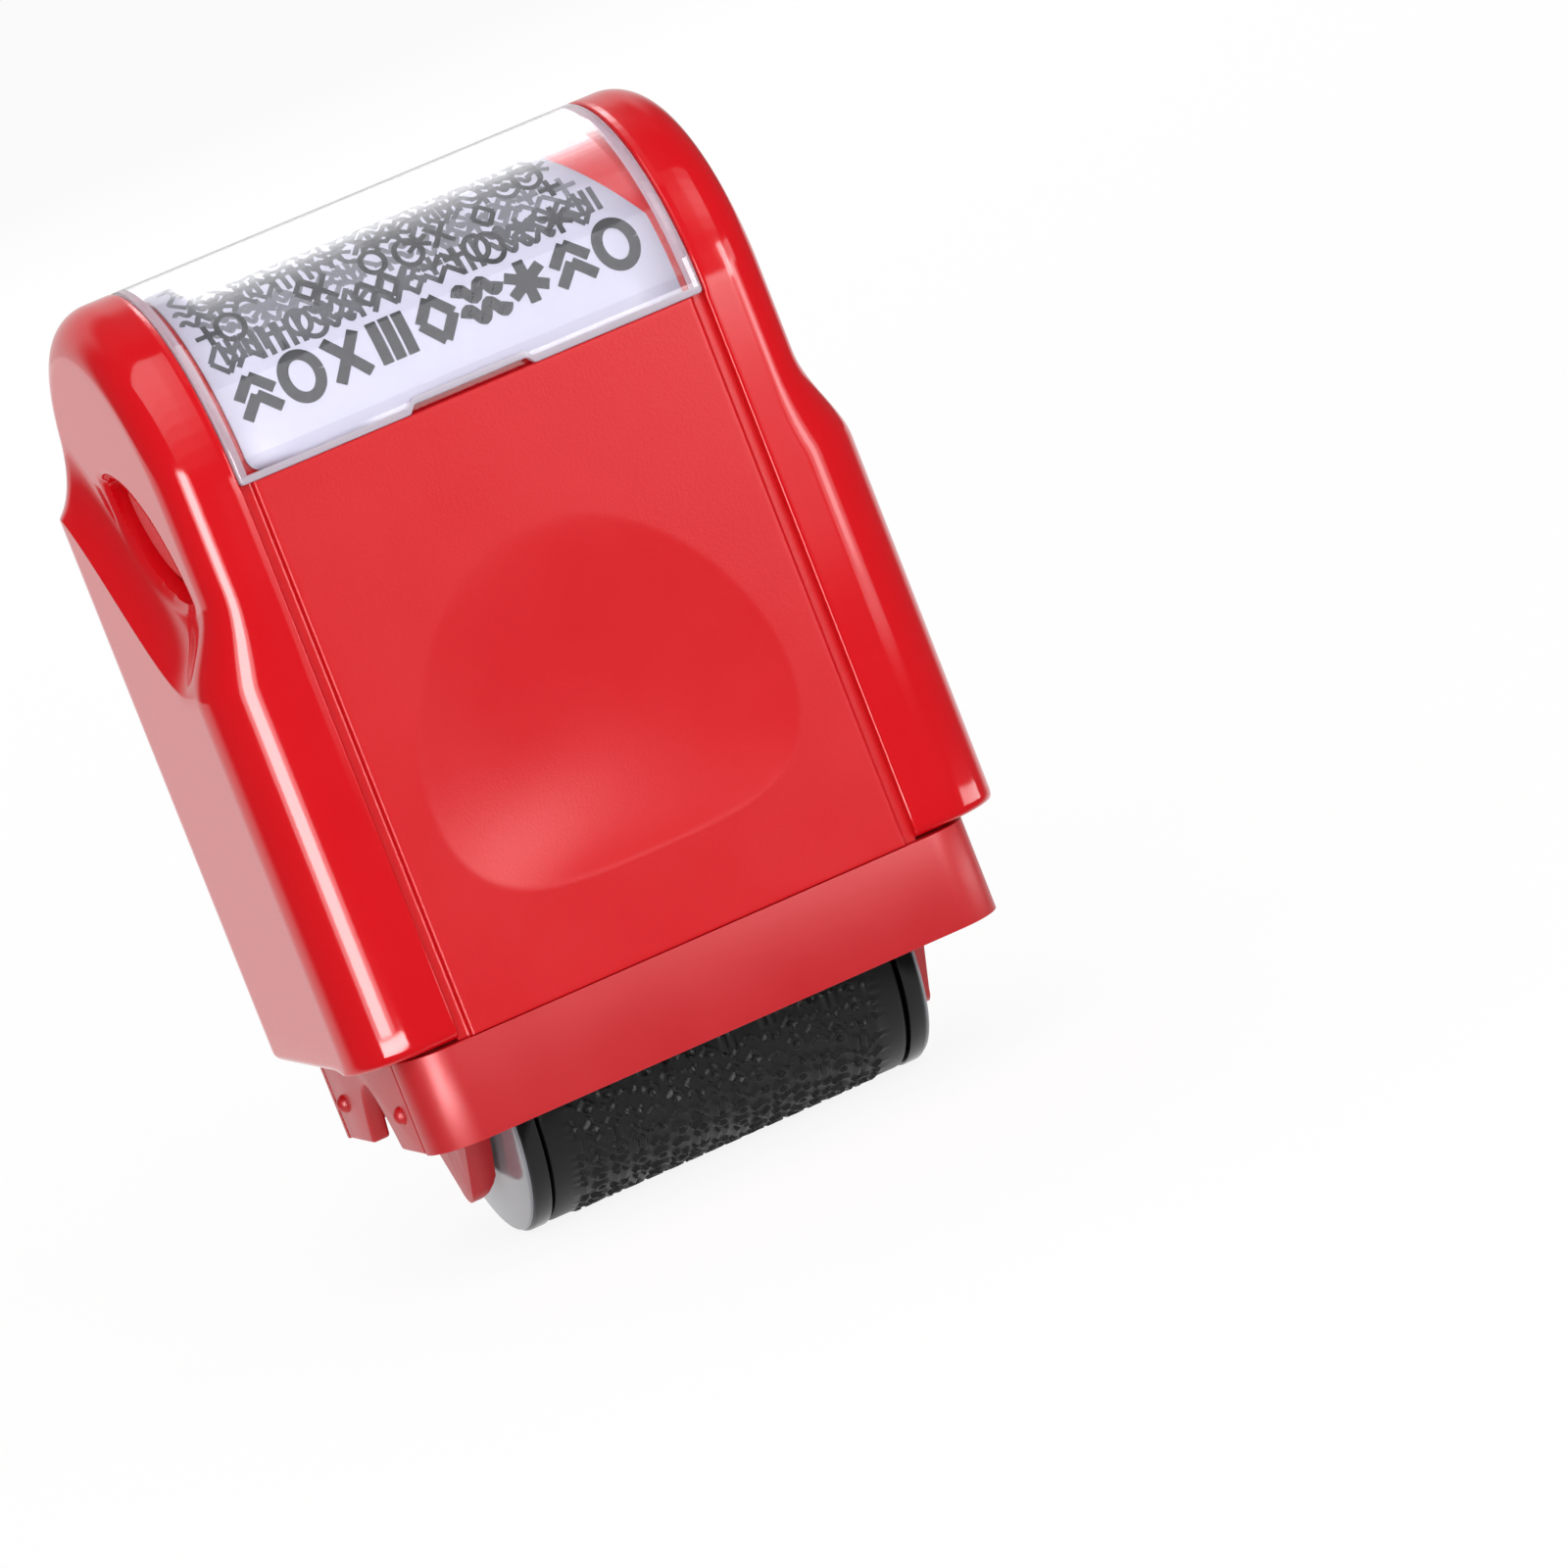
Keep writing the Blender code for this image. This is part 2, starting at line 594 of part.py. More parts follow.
def release_latch(name, side, parent):
    """A lever behind the side hole: a pad above, a short tail below and a barrel on its pin."""
    front, back = -LATCH_PAD_FRONT, LATCH_PAD_BACK
    top = SPRING_Z + LATCH_TOP_ABOVE_SPRING
    foot = LATCH_AXIS_Z - LATCH_TAIL
    r = LATCH_CORNER
    outline = arc((back - r, top - r), r, 0.0, pi / 2, 5)
    outline += arc((front + r, top - r), r, pi / 2, pi, 5)
    outline += arc((front + r, foot + r), r, pi, 1.5 * pi, 5)
    outline += arc((back - r, foot + r), r, 1.5 * pi, 2 * pi, 5)
    low, high = sorted((side * LATCH_FACE, side * (LATCH_FACE - LATCH_PLATE)))
    made = add_part(prism(name, outline, low, high, "X"), BAND_RED, parent)
    middle = (side * LATCH_AXIS_X, LATCH_MIDDLE_Y, LATCH_AXIS_Z)
    barrel = rod(name + "_barrel", LATCH_BARREL_RADIUS, back - front - 2 * CLEARANCE, middle, "X")
    boolean(made, add_cutter(barrel), "UNION")
    bore = rod(name + "_bore", LATCH_PIN_RADIUS + CLEARANCE, back - front + 2 * OVERCUT, middle, "X")
    boolean(made, add_cutter(bore))
    return made


def latch_pin(name, side, parent):
    reach = LATCH_LUG_Y + CLEARANCE + LUG_THICKNESS
    middle = (side * LATCH_AXIS_X, LATCH_MIDDLE_Y, LATCH_AXIS_Z)
    return add_part(rod(name, LATCH_PIN_RADIUS, 2 * reach, middle, "X"), STEEL, parent)


def side_frame(name, side, parent):
    """One moulded end of the cartridge: a lug that holds both axles, a web and the outer wall."""
    neck = ARM_NECK_HALF_WIDTH
    tip_z = ARM_TIP_HEIGHT + ARM_TIP_RADIUS
    lean = asin(ARM_TIP_RADIUS / sqrt(neck ** 2 + (SKIRT_BOTTOM - tip_z) ** 2))
    slope = np.arctan2(SKIRT_BOTTOM - tip_z, neck) - lean
    tip = arc((0.0, tip_z), ARM_TIP_RADIUS, slope - pi, -slope - TINY, 9)
    top = INK_Z + ARM_ABOVE_INK_AXLE
    r = ARM_TIP_RADIUS
    wide = ARM_HALF_WIDTH
    right = [(neck, SKIRT_BOTTOM), (wide, SKIRT_TOP)] + arc((wide - r, top - r), r, 0.0, pi / 2, 5)
    outline = tip + right + [(-y, z) for y, z in reversed(right)]
    low, high = sorted((side * ARM_IN, side * ARM_OUT))
    made = add_part(prism(name, outline, low, high, "X"), BAND_RED, parent)
    guide_top = SKIRT_TOP + GUIDE_HEIGHT
    wall_in = SKIRT_HALF_WIDTH - SKIRT_WALL
    low, high = sorted((side * (ARM_OUT - OVERCUT / 2), side * (wall_in + SKIRT_WALL / 2)))
    web_half = wide - CLEARANCE
    web = box(name + "_web", (low, -web_half, guide_top - WEB_THICKNESS), (high, web_half, guide_top))
    low, high = sorted((side * wall_in, side * SKIRT_HALF_WIDTH))
    wall = box(name + "_wall", (low, -SKIRT_SEAM + CLEARANCE, SKIRT_BOTTOM),
               (high, SKIRT_SEAM - CLEARANCE, guide_top + TINY * 10))
    boolean(made, add_cutter(web), "UNION")
    boolean(made, add_cutter(wall), "UNION")
    leg = ARCH_WIDTH / 2
    below = SKIRT_BOTTOM - OVERCUT
    arch = [(leg * t, SKIRT_BOTTOM + ARCH_HEIGHT * (1 - t * t)) for t in np.linspace(1, -1, 13)]
    arch = [(leg, below)] + arch + [(-leg, below)]
    low, high = sorted((side * (wall_in - OVERCUT / 2), side * (SKIRT_HALF_WIDTH + OVERCUT)))
    boolean(made, add_cutter(prism(name + "_arch", arch, low, high, "X")))
    for y_side, end in ((-1, "front"), (1, "rear")):
        shape = bmesh.new()
        bmesh.ops.create_uvsphere(shape, u_segments=16, v_segments=8, radius=NUB_RADIUS)
        y = y_side * (SKIRT_SEAM - NUB_FROM_SEAM)
        place = (side * SKIRT_HALF_WIDTH, y, SKIRT_BOTTOM + NUB_ABOVE_EDGE)
        bmesh.ops.translate(shape, vec=place, verts=shape.verts)
        boolean(made, add_cutter(from_bmesh(f"{name}_{end}_nub", shape)), "UNION")
    for label, radius, z in (("print", PRINT_AXLE_RADIUS, AXLE_Z), ("ink", INK_AXLE_RADIUS, INK_Z)):
        middle = (side * (ARM_IN + ARM_OUT) / 2, 0.0, z)
        bore = rod(f"{name}_{label}_bore", radius + CLEARANCE, ARM_THICKNESS + OVERCUT, middle, "Y")
        boolean(made, add_cutter(bore))
    return made


def skirt_band(name, side, parent):
    """The front or rear band round the cartridge's foot, with its two rounded corners."""
    half_w, half_d, r, wall = SKIRT_HALF_WIDTH, SKIRT_HALF_DEPTH, SKIRT_CORNER, SKIRT_WALL
    corner = (half_w - r, half_d - r)
    outer = [(half_w, SKIRT_SEAM)] + arc(corner, r, 0.0, pi / 2, 7)
    outer += [(-x, y) for x, y in reversed(outer)]
    inner = [(half_w - wall, SKIRT_SEAM)] + arc(corner, r - wall, 0.0, pi / 2, 7)
    inner += [(-x, y) for x, y in reversed(inner)]
    outline = [(x, side * y) for x, y in outer + inner[::-1]]
    return add_part(prism(name, outline, SKIRT_BOTTOM, SKIRT_TOP, "Z"), BAND_RED, parent)


def cartridge_hood(parent):
    """An arched cover over the ink roller, between the two side frames."""
    half, wall, r, top = HOOD_HALF_DEPTH, HOOD_WALL, HOOD_CORNER, HOOD_TOP
    foot = AXLE_Z + sqrt(max(PRINT_RADIUS ** 2 - (half - wall) ** 2, 0.0)) + ARM_GAP
    outer = [(half, foot)] + arc((half - r, top - r), r, 0.0, pi / 2, 6)
    outer += [(-y, z) for y, z in reversed(outer)]
    inner = [(half - wall, foot)] + arc((half - r, top - r), r - wall, 0.0, pi / 2, 6)
    inner += [(-y, z) for y, z in reversed(inner)]
    reach = ARM_IN - CLEARANCE
    made = prism("cartridge_hood", outer + inner[::-1], -reach, reach, "X")
    return add_part(made, BLACK_ABS, parent)


def axle(name, radius, z, parent):
    end = AXLE_HALF_LENGTH
    chamfer = radius / 5
    profile = [(end, 0.0), (end, radius - chamfer), (end - chamfer, radius)]
    profile += other_hand(profile)
    return add_part(turned(name, profile, (0.0, 0.0, z), SMALL_STEPS, solid=True), STEEL, parent)


def axle_clip(name, side, radius, z, parent):
    """A spring clip over the axle's end, open at the back."""
    low = ARM_OUT + CLEARANCE
    profile = ring(low, low + CLIP_THICKNESS, radius + CLEARANCE + CLIP_WALL, radius + CLEARANCE)
    profile = profile if side > 0 else other_hand(profile)
    made = add_part(turned(name, profile, (0.0, 0.0, z), SMALL_STEPS), STEEL, parent)
    x = side * low
    slot = box(name + "_slot", (x - OVERCUT, 0.0, z - radius), (x + OVERCUT, radius * 3, z + radius))
    boolean(made, add_cutter(slot))
    return made


def print_roller(parent):
    """Hollow core, rubber sleeve, and a flange and bush at each end."""
    centre = (0.0, 0.0, AXLE_Z)
    half = PRINT_HALF_LENGTH
    add_part(turned("roller_core", ring(-half, half, CORE_RADIUS, CORE_BORE), centre), BLACK_ABS, parent)
    sleeve = ring(-half, half, PRINT_RADIUS, PRINT_RADIUS - RUBBER_THICKNESS)
    add_part(turned("rubber_sleeve", sleeve, centre), RUBBER, parent)
    bush_bore = PRINT_AXLE_RADIUS + CLEARANCE
    bush_outside = bush_bore + BUSH_WALL
    flange_bore = bush_outside + CLEARANCE
    rim = PRINT_RADIUS - FLANGE_DROP
    edge = FLANGE_THICKNESS / 3
    spigot = CORE_BORE - CLEARANCE
    flange = [(FLANGE_OUT, rim - edge), (FLANGE_OUT - edge * 0.3, rim - edge * 0.3)]
    flange += [(FLANGE_OUT - edge, rim)]
    flange += [(FLANGE_IN, rim), (FLANGE_IN, spigot), (FLANGE_IN - SPIGOT_LENGTH, spigot)]
    flange += [(FLANGE_IN - SPIGOT_LENGTH, flange_bore), (FLANGE_OUT, flange_bore)]
    bush = ring(FLANGE_IN - SPIGOT_LENGTH, FLANGE_OUT + ARM_GAP / 2, bush_outside, bush_bore)
    kinds = (("flange", flange, BLACK_ABS, ROUND_STEPS), ("bush", bush, ACETAL, SMALL_STEPS))
    for side, name in ((-1, "left"), (1, "right")):
        for kind, profile, finish, steps in kinds:
            handed = profile if side > 0 else other_hand(profile)
            add_part(turned(f"{name}_{kind}", handed, centre, steps), finish, parent)


def ink_roller(parent):
    """Hollow core with a foam sleeve that holds the ink, kept in place by two discs."""
    centre = (0.0, 0.0, INK_Z)
    half = FOAM_HALF_LENGTH
    disc_in = half + CLEARANCE
    disc_out = disc_in + INK_DISC_THICKNESS
    core_half = disc_out + CLEARANCE
    foam = ring(-half, half, INK_RADIUS, INK_RADIUS - FOAM_THICKNESS)
    core = ring(-core_half, core_half, INK_CORE_RADIUS, INK_AXLE_RADIUS + CLEARANCE)
    disc = ring(disc_in, disc_out, INK_RADIUS - INK_DISC_DROP, INK_CORE_RADIUS + CLEARANCE)
    add_part(turned("ink_foam", foam, centre), FOAM, parent)
    add_part(turned("ink_core", core, centre, SMALL_STEPS), ACETAL, parent)
    for side, name in ((-1, "left"), (1, "right")):
        handed = disc if side > 0 else other_hand(disc)
        add_part(turned(name + "_ink_disc", handed, centre), ACETAL, parent)


stamp = empty("stamp", (0.0, 0.0, 0.0))
window_slide = empty("window_slide", (0.0, 0.0, SPRING_Z), stamp)
cartridge_slide = empty("cartridge_slide", (0.0, 0.0, CASE_FOOT), stamp)
print_axis = empty("print_roller_axis", (0.0, 0.0, AXLE_Z), cartridge_slide)
ink_axis = empty("ink_roller_axis", (0.0, 0.0, INK_Z), cartridge_slide)
outer_casing(stamp)
grip_panel("front_grip_panel", -1, stamp)
grip_panel("rear_grip_panel", 1, stamp)
index_label(stamp)
window_cover(window_slide)
for hand, word in ((-1, "left"), (1, "right")):
    latch_axis = empty(word + "_latch_axis", (hand * LATCH_AXIS_X, 0.0, LATCH_AXIS_Z), stamp)
    release_latch(word + "_release_latch", hand, latch_axis)
    latch_pin(word + "_latch_pin", hand, stamp)
    side_frame(word + "_side_frame", hand, cartridge_slide)
    axle_clip(word + "_print_axle_clip", hand, PRINT_AXLE_RADIUS, AXLE_Z, cartridge_slide)
    axle_clip(word + "_ink_axle_clip", hand, INK_AXLE_RADIUS, INK_Z, cartridge_slide)
skirt_band("front_skirt", -1, cartridge_slide)
skirt_band("rear_skirt", 1, cartridge_slide)
cartridge_hood(cartridge_slide)
axle("print_axle", PRINT_AXLE_RADIUS, AXLE_Z, cartridge_slide)
axle("ink_axle", INK_AXLE_RADIUS, INK_Z, cartridge_slide)
print_roller(print_axis)
ink_roller(ink_axis)
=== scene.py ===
"""The looks of a wide privacy roller stamp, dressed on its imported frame.

Shapes are worked out in millimetres and put into metres when a mesh is made. The frame is the
model's own: the paper is z = 0, the rollers lie along X and the thumb panel faces -Y.
"""

import bmesh
import bpy
import numpy as np
from mathutils import Matrix, Vector


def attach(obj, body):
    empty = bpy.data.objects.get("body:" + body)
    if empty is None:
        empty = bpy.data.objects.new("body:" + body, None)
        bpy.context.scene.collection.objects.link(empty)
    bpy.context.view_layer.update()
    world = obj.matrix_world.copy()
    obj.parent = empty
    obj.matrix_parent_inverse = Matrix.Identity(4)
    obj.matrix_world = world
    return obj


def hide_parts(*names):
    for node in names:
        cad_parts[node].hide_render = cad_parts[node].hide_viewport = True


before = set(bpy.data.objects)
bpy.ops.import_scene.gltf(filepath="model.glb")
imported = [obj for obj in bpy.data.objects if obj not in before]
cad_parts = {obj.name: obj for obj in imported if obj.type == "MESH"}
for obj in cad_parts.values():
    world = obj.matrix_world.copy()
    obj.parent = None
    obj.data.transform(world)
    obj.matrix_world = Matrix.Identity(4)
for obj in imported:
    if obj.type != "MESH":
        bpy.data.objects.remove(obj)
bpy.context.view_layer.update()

MM = 0.001
TURN = 2 * np.pi

# Sizes of the casing
FOOT, SPRING = 20.4, 71.0
LOW_HALF, HEAD_HALF, DEEP_HALF = 31.0, 28.2, 17.5
LOW_ROUND, HEAD_ROUND, FOOT_ROUND = 6.2, 3.8, 0.9
RIDGE_FRONT, RIDGE_RISE, RIDGE_START, RIDGE_RUN = 34.8, 17.6, 8.5, 24.0
FLARE_FRONT, FLARE_BACK, FLARE_TURN = 7.6, 6.5, np.radians(25)
CAVITY_LOW, CAVITY_HEAD, CAVITY_DEEP, CAVITY_ROUNDS = 27.6, 26.4, 14.1, (3.0, 2.6)
HOLE_LONG, HOLE_WIDE, HOLE_TILT, HOLE_Y, HOLE_Z = 17.8, 7.6, np.radians(37), -3.7, 68.1
LIP, LIP_SHARE, PIN_Z = 0.7, 0.8, 50.0

# Sizes of the window, label and grip panels
WINDOW_HALF, WINDOW_OUT, WINDOW_IN = 21.9, 17.5, 16.3
NOTCH_HALF, NOTCH_DEEP, NOTCH_SLANT = 6.0, 0.7, 0.8
RECESS = 2.0
LABEL_OUT, LABEL_HALF, LABEL_SWEEP, LABEL_THICK = 16.0, 20.4, np.radians(122), 0.2
LABEL_TAPER, TAPER_START, TAPER_SWEEP = 4.7, np.radians(26), np.radians(34)
PANEL_HALF, PANEL_FACE, PANEL_DEEP = 20.8, 17.3, 1.5
DENT_LOW, DENT_TALL, DENT_WIDE, DENT_DEEP = 8.3, 29.5, 33.8, 2.0

# Sizes of the cartridge and rollers
SKIRT_HALF, SKIRT_DEEP, SKIRT_LOW, SKIRT_TOP = 27.3, 17.4, 11.6, 20.1
SKIRT_ROUND, SKIRT_WALL, SEAM, SEAM_GAP = 4.6, 1.7, 12.6, 0.15
ARM_IN, ARM_OUT = 19.9, 22.3
AXLE_Z, INK_Z = 13.0, 34.3
ROLLER_R, ROLLER_HALF = 13.0, 17.1
SLEEVE_WALL, RELIEF_HALF, RELIEF_TALL = 1.3, 14.4, 0.32

# Camera, floor and light

AZIMUTH, ELEVATION, ROLL = np.radians([15.2, 7.92, 21.42])
DISTANCE, FOCAL_PIXELS, FRAME_PIXELS, SENSOR = 1000.0, 11842.0, 1600.0, 36.0
AIM_ACROSS, AIM_UP, AIM_HEIGHT, LAMP_AIM = -21.96, 10.13, 45.0, 55.0
DIM_ROOM, MATT_FILL = 0.12, 0.52
SHEET_SIDES, SHEET_FRONT, SHEET_TOP = (0.38, 0.62), (0.0, 0.30), (0.60, 0.80)
SHEET_BRIGHT, SHEET_ZENITH = 0.65, 0.1
FLOOR_HALF, FLOOR_SHIFT, FLOOR_RAMP, FLOOR_GLOW, GLOW_SHARE = 4000.0, 38.0, (0.46, 0.70), 1.03, 0.86


def put(name, data):
    """A new object of the scene for a mesh, a lamp or a camera."""
    made = bpy.data.objects.new(name, data)
    bpy.context.scene.collection.objects.link(made)
    return made


def place_camera():
    """The photograph's camera, found from the places of the object's own corners in the picture."""
    flat = np.cos(ELEVATION)
    view = np.array([np.sin(AZIMUTH) * flat, np.cos(AZIMUTH) * flat, -np.sin(ELEVATION)])
    level = np.array([np.cos(AZIMUTH), -np.sin(AZIMUTH), 0.0])
    upright = np.cross(level, view)
    right = np.cos(ROLL) * level - np.sin(ROLL) * upright
    up = np.sin(ROLL) * level + np.cos(ROLL) * upright
    spot = np.array([0.0, 0.0, AIM_HEIGHT]) - DISTANCE * view - AIM_ACROSS * right - AIM_UP * up
    data = bpy.data.cameras.new("camera")
    data.sensor_width = SENSOR
    data.lens = FOCAL_PIXELS / FRAME_PIXELS * SENSOR
    data.clip_start, data.clip_end = 0.01, 20.0
    camera = put("camera", data)
    turn = Matrix(np.stack([right, up, -view], 1).tolist()).to_4x4()
    camera.matrix_world = Matrix.Translation(spot * MM) @ turn
    bpy.context.scene.camera = camera


def linear(colour):
    """Linear red, green, blue and alpha from an sRGB hex value such as #DC3038."""
    channels = np.array([int(colour[i:i + 2], 16) for i in (1, 3, 5)]) / 255
    straight = np.where(channels <= 0.04045, channels / 12.92, ((channels + 0.055) / 1.055) ** 2.4)
    return (*straight.tolist(), 1.0)


def fill(tree, node, inputs):
    """Sets a node's inputs, by name or number, to values or links. A node stands for its first output."""
    for key, value in inputs.items():
        if isinstance(value, bpy.types.Node):
            value = value.outputs[0]
        if isinstance(value, bpy.types.NodeSocket):
            tree.links.new(value, node.inputs[key])
        else:
            node.inputs[key].default_value = value


def add(tree, kind, inputs=None, **settings):
    """Adds a node, sets its properties and fills its inputs."""
    made = tree.nodes.new(kind)
    for name, value in settings.items():
        setattr(made, name, value)
    fill(tree, made, inputs or {})
    return made


def seen_by_eye(tree, path):
    """1 for a ray from the eye, also through the clear window, and 0 for one that has met a matt surface: the
    larger of Is Camera Ray and of Is Transmission Ray less the diffuse depth."""
    clear = add(tree, "ShaderNodeMath", {0: path["Is Transmission Ray"], 1: path["Diffuse Depth"]},
                operation="SUBTRACT", use_clamp=True)
    return add(tree, "ShaderNodeMath", {0: path["Is Camera Ray"], 1: clear}, operation="MAXIMUM")


def light_world():
    """A studio. Matt surfaces get an even fill, and the eye sees white. Gloss sees a dim room and a pale
    sheet behind the object: an S curve of the mirrored direction's x, times one of its y, times one of its z
    that dims the sheet towards the zenith."""
    world = bpy.data.worlds.new("studio")
    bpy.context.scene.world = world
    world.use_nodes = True
    world.cycles.sampling_method = "NONE"
    tree = world.node_tree
    tree.nodes.clear()
    path = add(tree, "ShaderNodeLightPath").outputs
    way = add(tree, "ShaderNodeTexCoord").outputs["Generated"]
    x, y, z = add(tree, "ShaderNodeSeparateXYZ", {0: way}).outputs
    aside = add(tree, "ShaderNodeMath", {0: x}, operation="ABSOLUTE")
    narrow, behind, high = (
        add(tree, "ShaderNodeMapRange", {0: value, 1: reach[0], 2: reach[1], 3: start, 4: stop},
            interpolation_type="SMOOTHSTEP")
        for value, reach, start, stop in ((aside, SHEET_SIDES, 1.0, 0.0), (y, SHEET_FRONT, 0.0, 1.0),
                                          (z, SHEET_TOP, SHEET_BRIGHT, SHEET_ZENITH)))
    sheet = add(tree, "ShaderNodeMath", {0: narrow, 1: behind}, operation="MULTIPLY")
    mirrored = add(tree, "ShaderNodeMath", {0: sheet, 1: high, 2: DIM_ROOM}, operation="MULTIPLY_ADD")
    even, gloss, white = (add(tree, "ShaderNodeBackground", {0: linear("#FFFFFF"), 1: strength})
                          for strength in (MATT_FILL, mirrored, 1.0))
    unseen = add(tree, "ShaderNodeMixShader", {0: path["Is Glossy Ray"], 1: even, 2: gloss})
    seen = add(tree, "ShaderNodeMixShader", {0: seen_by_eye(tree, path), 1: unseen, 2: white})
    add(tree, "ShaderNodeOutputWorld", {0: seen})


def lamp(name, place, aim, width, length, brightness, reaches):
    """A rectangular lamp at one place in millimetres that faces another. A brightness of 1 is white, and
    reaches is "matt" or "gloss": only matt surfaces find the lamp, or only mirrored light does."""
    data = bpy.data.lights.new(name, "AREA")
    data.shape = "RECTANGLE"
    data.size, data.size_y = width * MM, length * MM
    data.energy = brightness * np.pi * data.size * data.size_y
    made = put(name, data)
    place, aim = np.array(place, float), np.array(aim, float)
    made.location = place * MM
    made.rotation_euler = Vector((aim - place).tolist()).to_track_quat("-Z", "Y").to_euler()
    made.visible_glossy = reaches != "matt"
    made.visible_diffuse = reaches != "gloss"
    made.visible_camera = False


def softbox(name, azimuth, distance, low, high, width, brightness, reaches):
    """A lamp that stands round the object, at an azimuth in degrees from straight in front towards -X, with
    its two ends at the heights low and high."""
    turn = np.radians(azimuth)
    place = (-np.sin(turn) * distance, -np.cos(turn) * distance, (low + high) / 2)
    lamp(name, place, (0.0, 0.0, LAMP_AIM), width, high - low, brightness, reaches)


def bent_sheet(name, low_x, high_x, radius, start, stop, levels):
    """A bright sheet bent round the dome's axis for mirrored light: a row of narrow lamps between two angles
    in degrees up from the front, whose brightness runs through the levels."""
    overlap = 1.02
    step = np.radians((stop - start) / len(levels))
    for number, level in enumerate(levels):
        turn = np.radians(start) + step * (number + 0.5)
        x, y, z = (low_x + high_x) / 2, -radius * np.cos(turn), SPRING + radius * np.sin(turn)
        lamp(f"{name}_{number}", (x, y, z), (x, 0.0, SPRING), high_x - low_x, radius * step * overlap,
             level, "gloss")


def floor():
    """A wide plane of white paper; the eye and mirrors see it partly glowing, so that it stays white."""
    corner = np.array([[[-1.0, -1, 0], [1, -1, 0]], [[-1, 1, 0], [1, 1, 0]]])
    made = surface("floor", corner * FLOOR_HALF)
    made.data.materials.append(MATERIALS["white_paper_floor"])


# Mesh makers

def mesh_from(name, corners, faces):
    """A mesh object from corner points in millimetres and an array of faces with the same number of sides."""
    data = bpy.data.meshes.new(name)
    sides = faces.shape[1]
    data.vertices.add(len(corners))
    data.vertices.foreach_set("co", (np.asarray(corners, float) * MM).ravel())
    data.loops.add(faces.size)
    data.loops.foreach_set("vertex_index", faces.ravel().astype(np.int32))
    data.polygons.add(len(faces))
    data.polygons.foreach_set("loop_start", np.arange(0, faces.size, sides, dtype=np.int32))
    data.update(calc_edges=True)
    return put(name, data)


def quads_of(rows, columns, wrap_rows=False, wrap_columns=False):
    """Corner numbers of the squares of a grid, wrapped round on itself either way."""
    r, c = np.meshgrid(np.arange(rows if wrap_rows else rows - 1),
                       np.arange(columns if wrap_columns else columns - 1), indexing="ij")
    r_next, c_next = (r + 1) % rows, (c + 1) % columns
    corners = [r * columns + c, r * columns + c_next, r_next * columns + c_next, r_next * columns + c]
    return np.stack(corners, -1).reshape(-1, 4)


def surface(name, points, wrap_rows=False, wrap_columns=False):
    """A mesh over a grid of points, rows by columns by xyz."""
    return mesh_from(name, points.reshape(-1, 3), quads_of(*points.shape[:2], wrap_rows, wrap_columns))


def finish_shell(made, weld=0.002, cap=False, angle=32.0):
    """Merges doubled corners, closes open ends if asked, faces everything outwards and shades it smooth."""
    shape = bmesh.new()
    shape.from_mesh(made.data)
    bmesh.ops.remove_doubles(shape, verts=shape.verts, dist=weld * MM)
    bmesh.ops.dissolve_degenerate(shape, edges=shape.edges, dist=weld * MM / 2)
    if cap:
        bmesh.ops.holes_fill(shape, edges=[e for e in shape.edges if e.is_boundary], sides=0)
    bmesh.ops.recalc_face_normals(shape, faces=shape.faces)
    shape.to_mesh(made.data)
    shape.free()
    shade(made, angle)
    return made


def shell(name, points, wrap_rows=False, **settings):
    """A finished surface over a grid of points whose columns close on themselves."""
    return finish_shell(surface(name, points, wrap_rows, True), **settings)


def shade(made, angle=32.0):
    """Shades a piece smooth, but for edges that turn by more than an angle in degrees."""
    made.data.shade_smooth()
    made.data.set_sharp_from_angle(angle=np.radians(angle))


def dress(made, material, body, slot, *nodes):
    """Gives a piece its material and its CAD body, and hides the CAD nodes that it stands for. The slot is
    not used.
    """
    made.data.materials.clear()
    made.data.materials.append(MATERIALS[material])
    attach(made, body)
    if nodes:
        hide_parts(*nodes)
    return made


def cut(made, tool):
    """Takes the tool's volume out of a piece and removes the tool."""
    step = made.modifiers.new("cut", "BOOLEAN")
    step.operation = "DIFFERENCE"
    step.solver = "EXACT"
    step.object = tool
    bake_modifiers(made)
    bpy.data.objects.remove(tool)


def bake_modifiers(made):
    """Puts the result of a piece's modifiers into its own mesh."""
    graph = bpy.context.evaluated_depsgraph_get()
    result = bpy.data.meshes.new_from_object(made.evaluated_get(graph))
    made.modifiers.clear()
    made.data = result


def bevelled(made, width):
    """The piece with a rounded edge of that many millimetres along every sharp edge, put into its mesh."""
    step = made.modifiers.new("edge", "BEVEL")
    step.width = width * MM
    step.segments = 3
    step.limit_method = "ANGLE"
    step.angle_limit = np.radians(50)
    bake_modifiers(made)
    shade(made)
    return made


def prism(name, outline, start, stop, axis):
    """A flat outline of points carried along one axis, with both ends closed."""
    outline = np.asarray(outline, float)
    place = "XYZ".index(axis)
    ends = [np.insert(outline, place, value, axis=1) for value in sorted((start, stop))]
    return shell(name, np.stack(ends), weld=0.0005, cap=True)


def about_x(x, radius, angle, centre_z):
    """Points at x and a radius round an axis along X, at an angle up from the rear."""
    return np.stack([x + 0 * radius * angle, radius * np.cos(angle), centre_z + radius * np.sin(angle)], -1)


def turned(name, profile, centre_z, steps):
    """A closed profile of (place along X, radius) points turned once about the roller's axis."""
    angle = np.linspace(0, TURN, steps, endpoint=False)[:, None]
    points = about_x(profile[None, :, 0], profile[None, :, 1], angle, centre_z)
    return shell(name, points, wrap_rows=True)


def box(low_x, high_x, low_y, high_y):
    """The corners of a flat box."""
    return [[low_x, low_y], [high_x, low_y], [high_x, high_y], [low_x, high_y]]


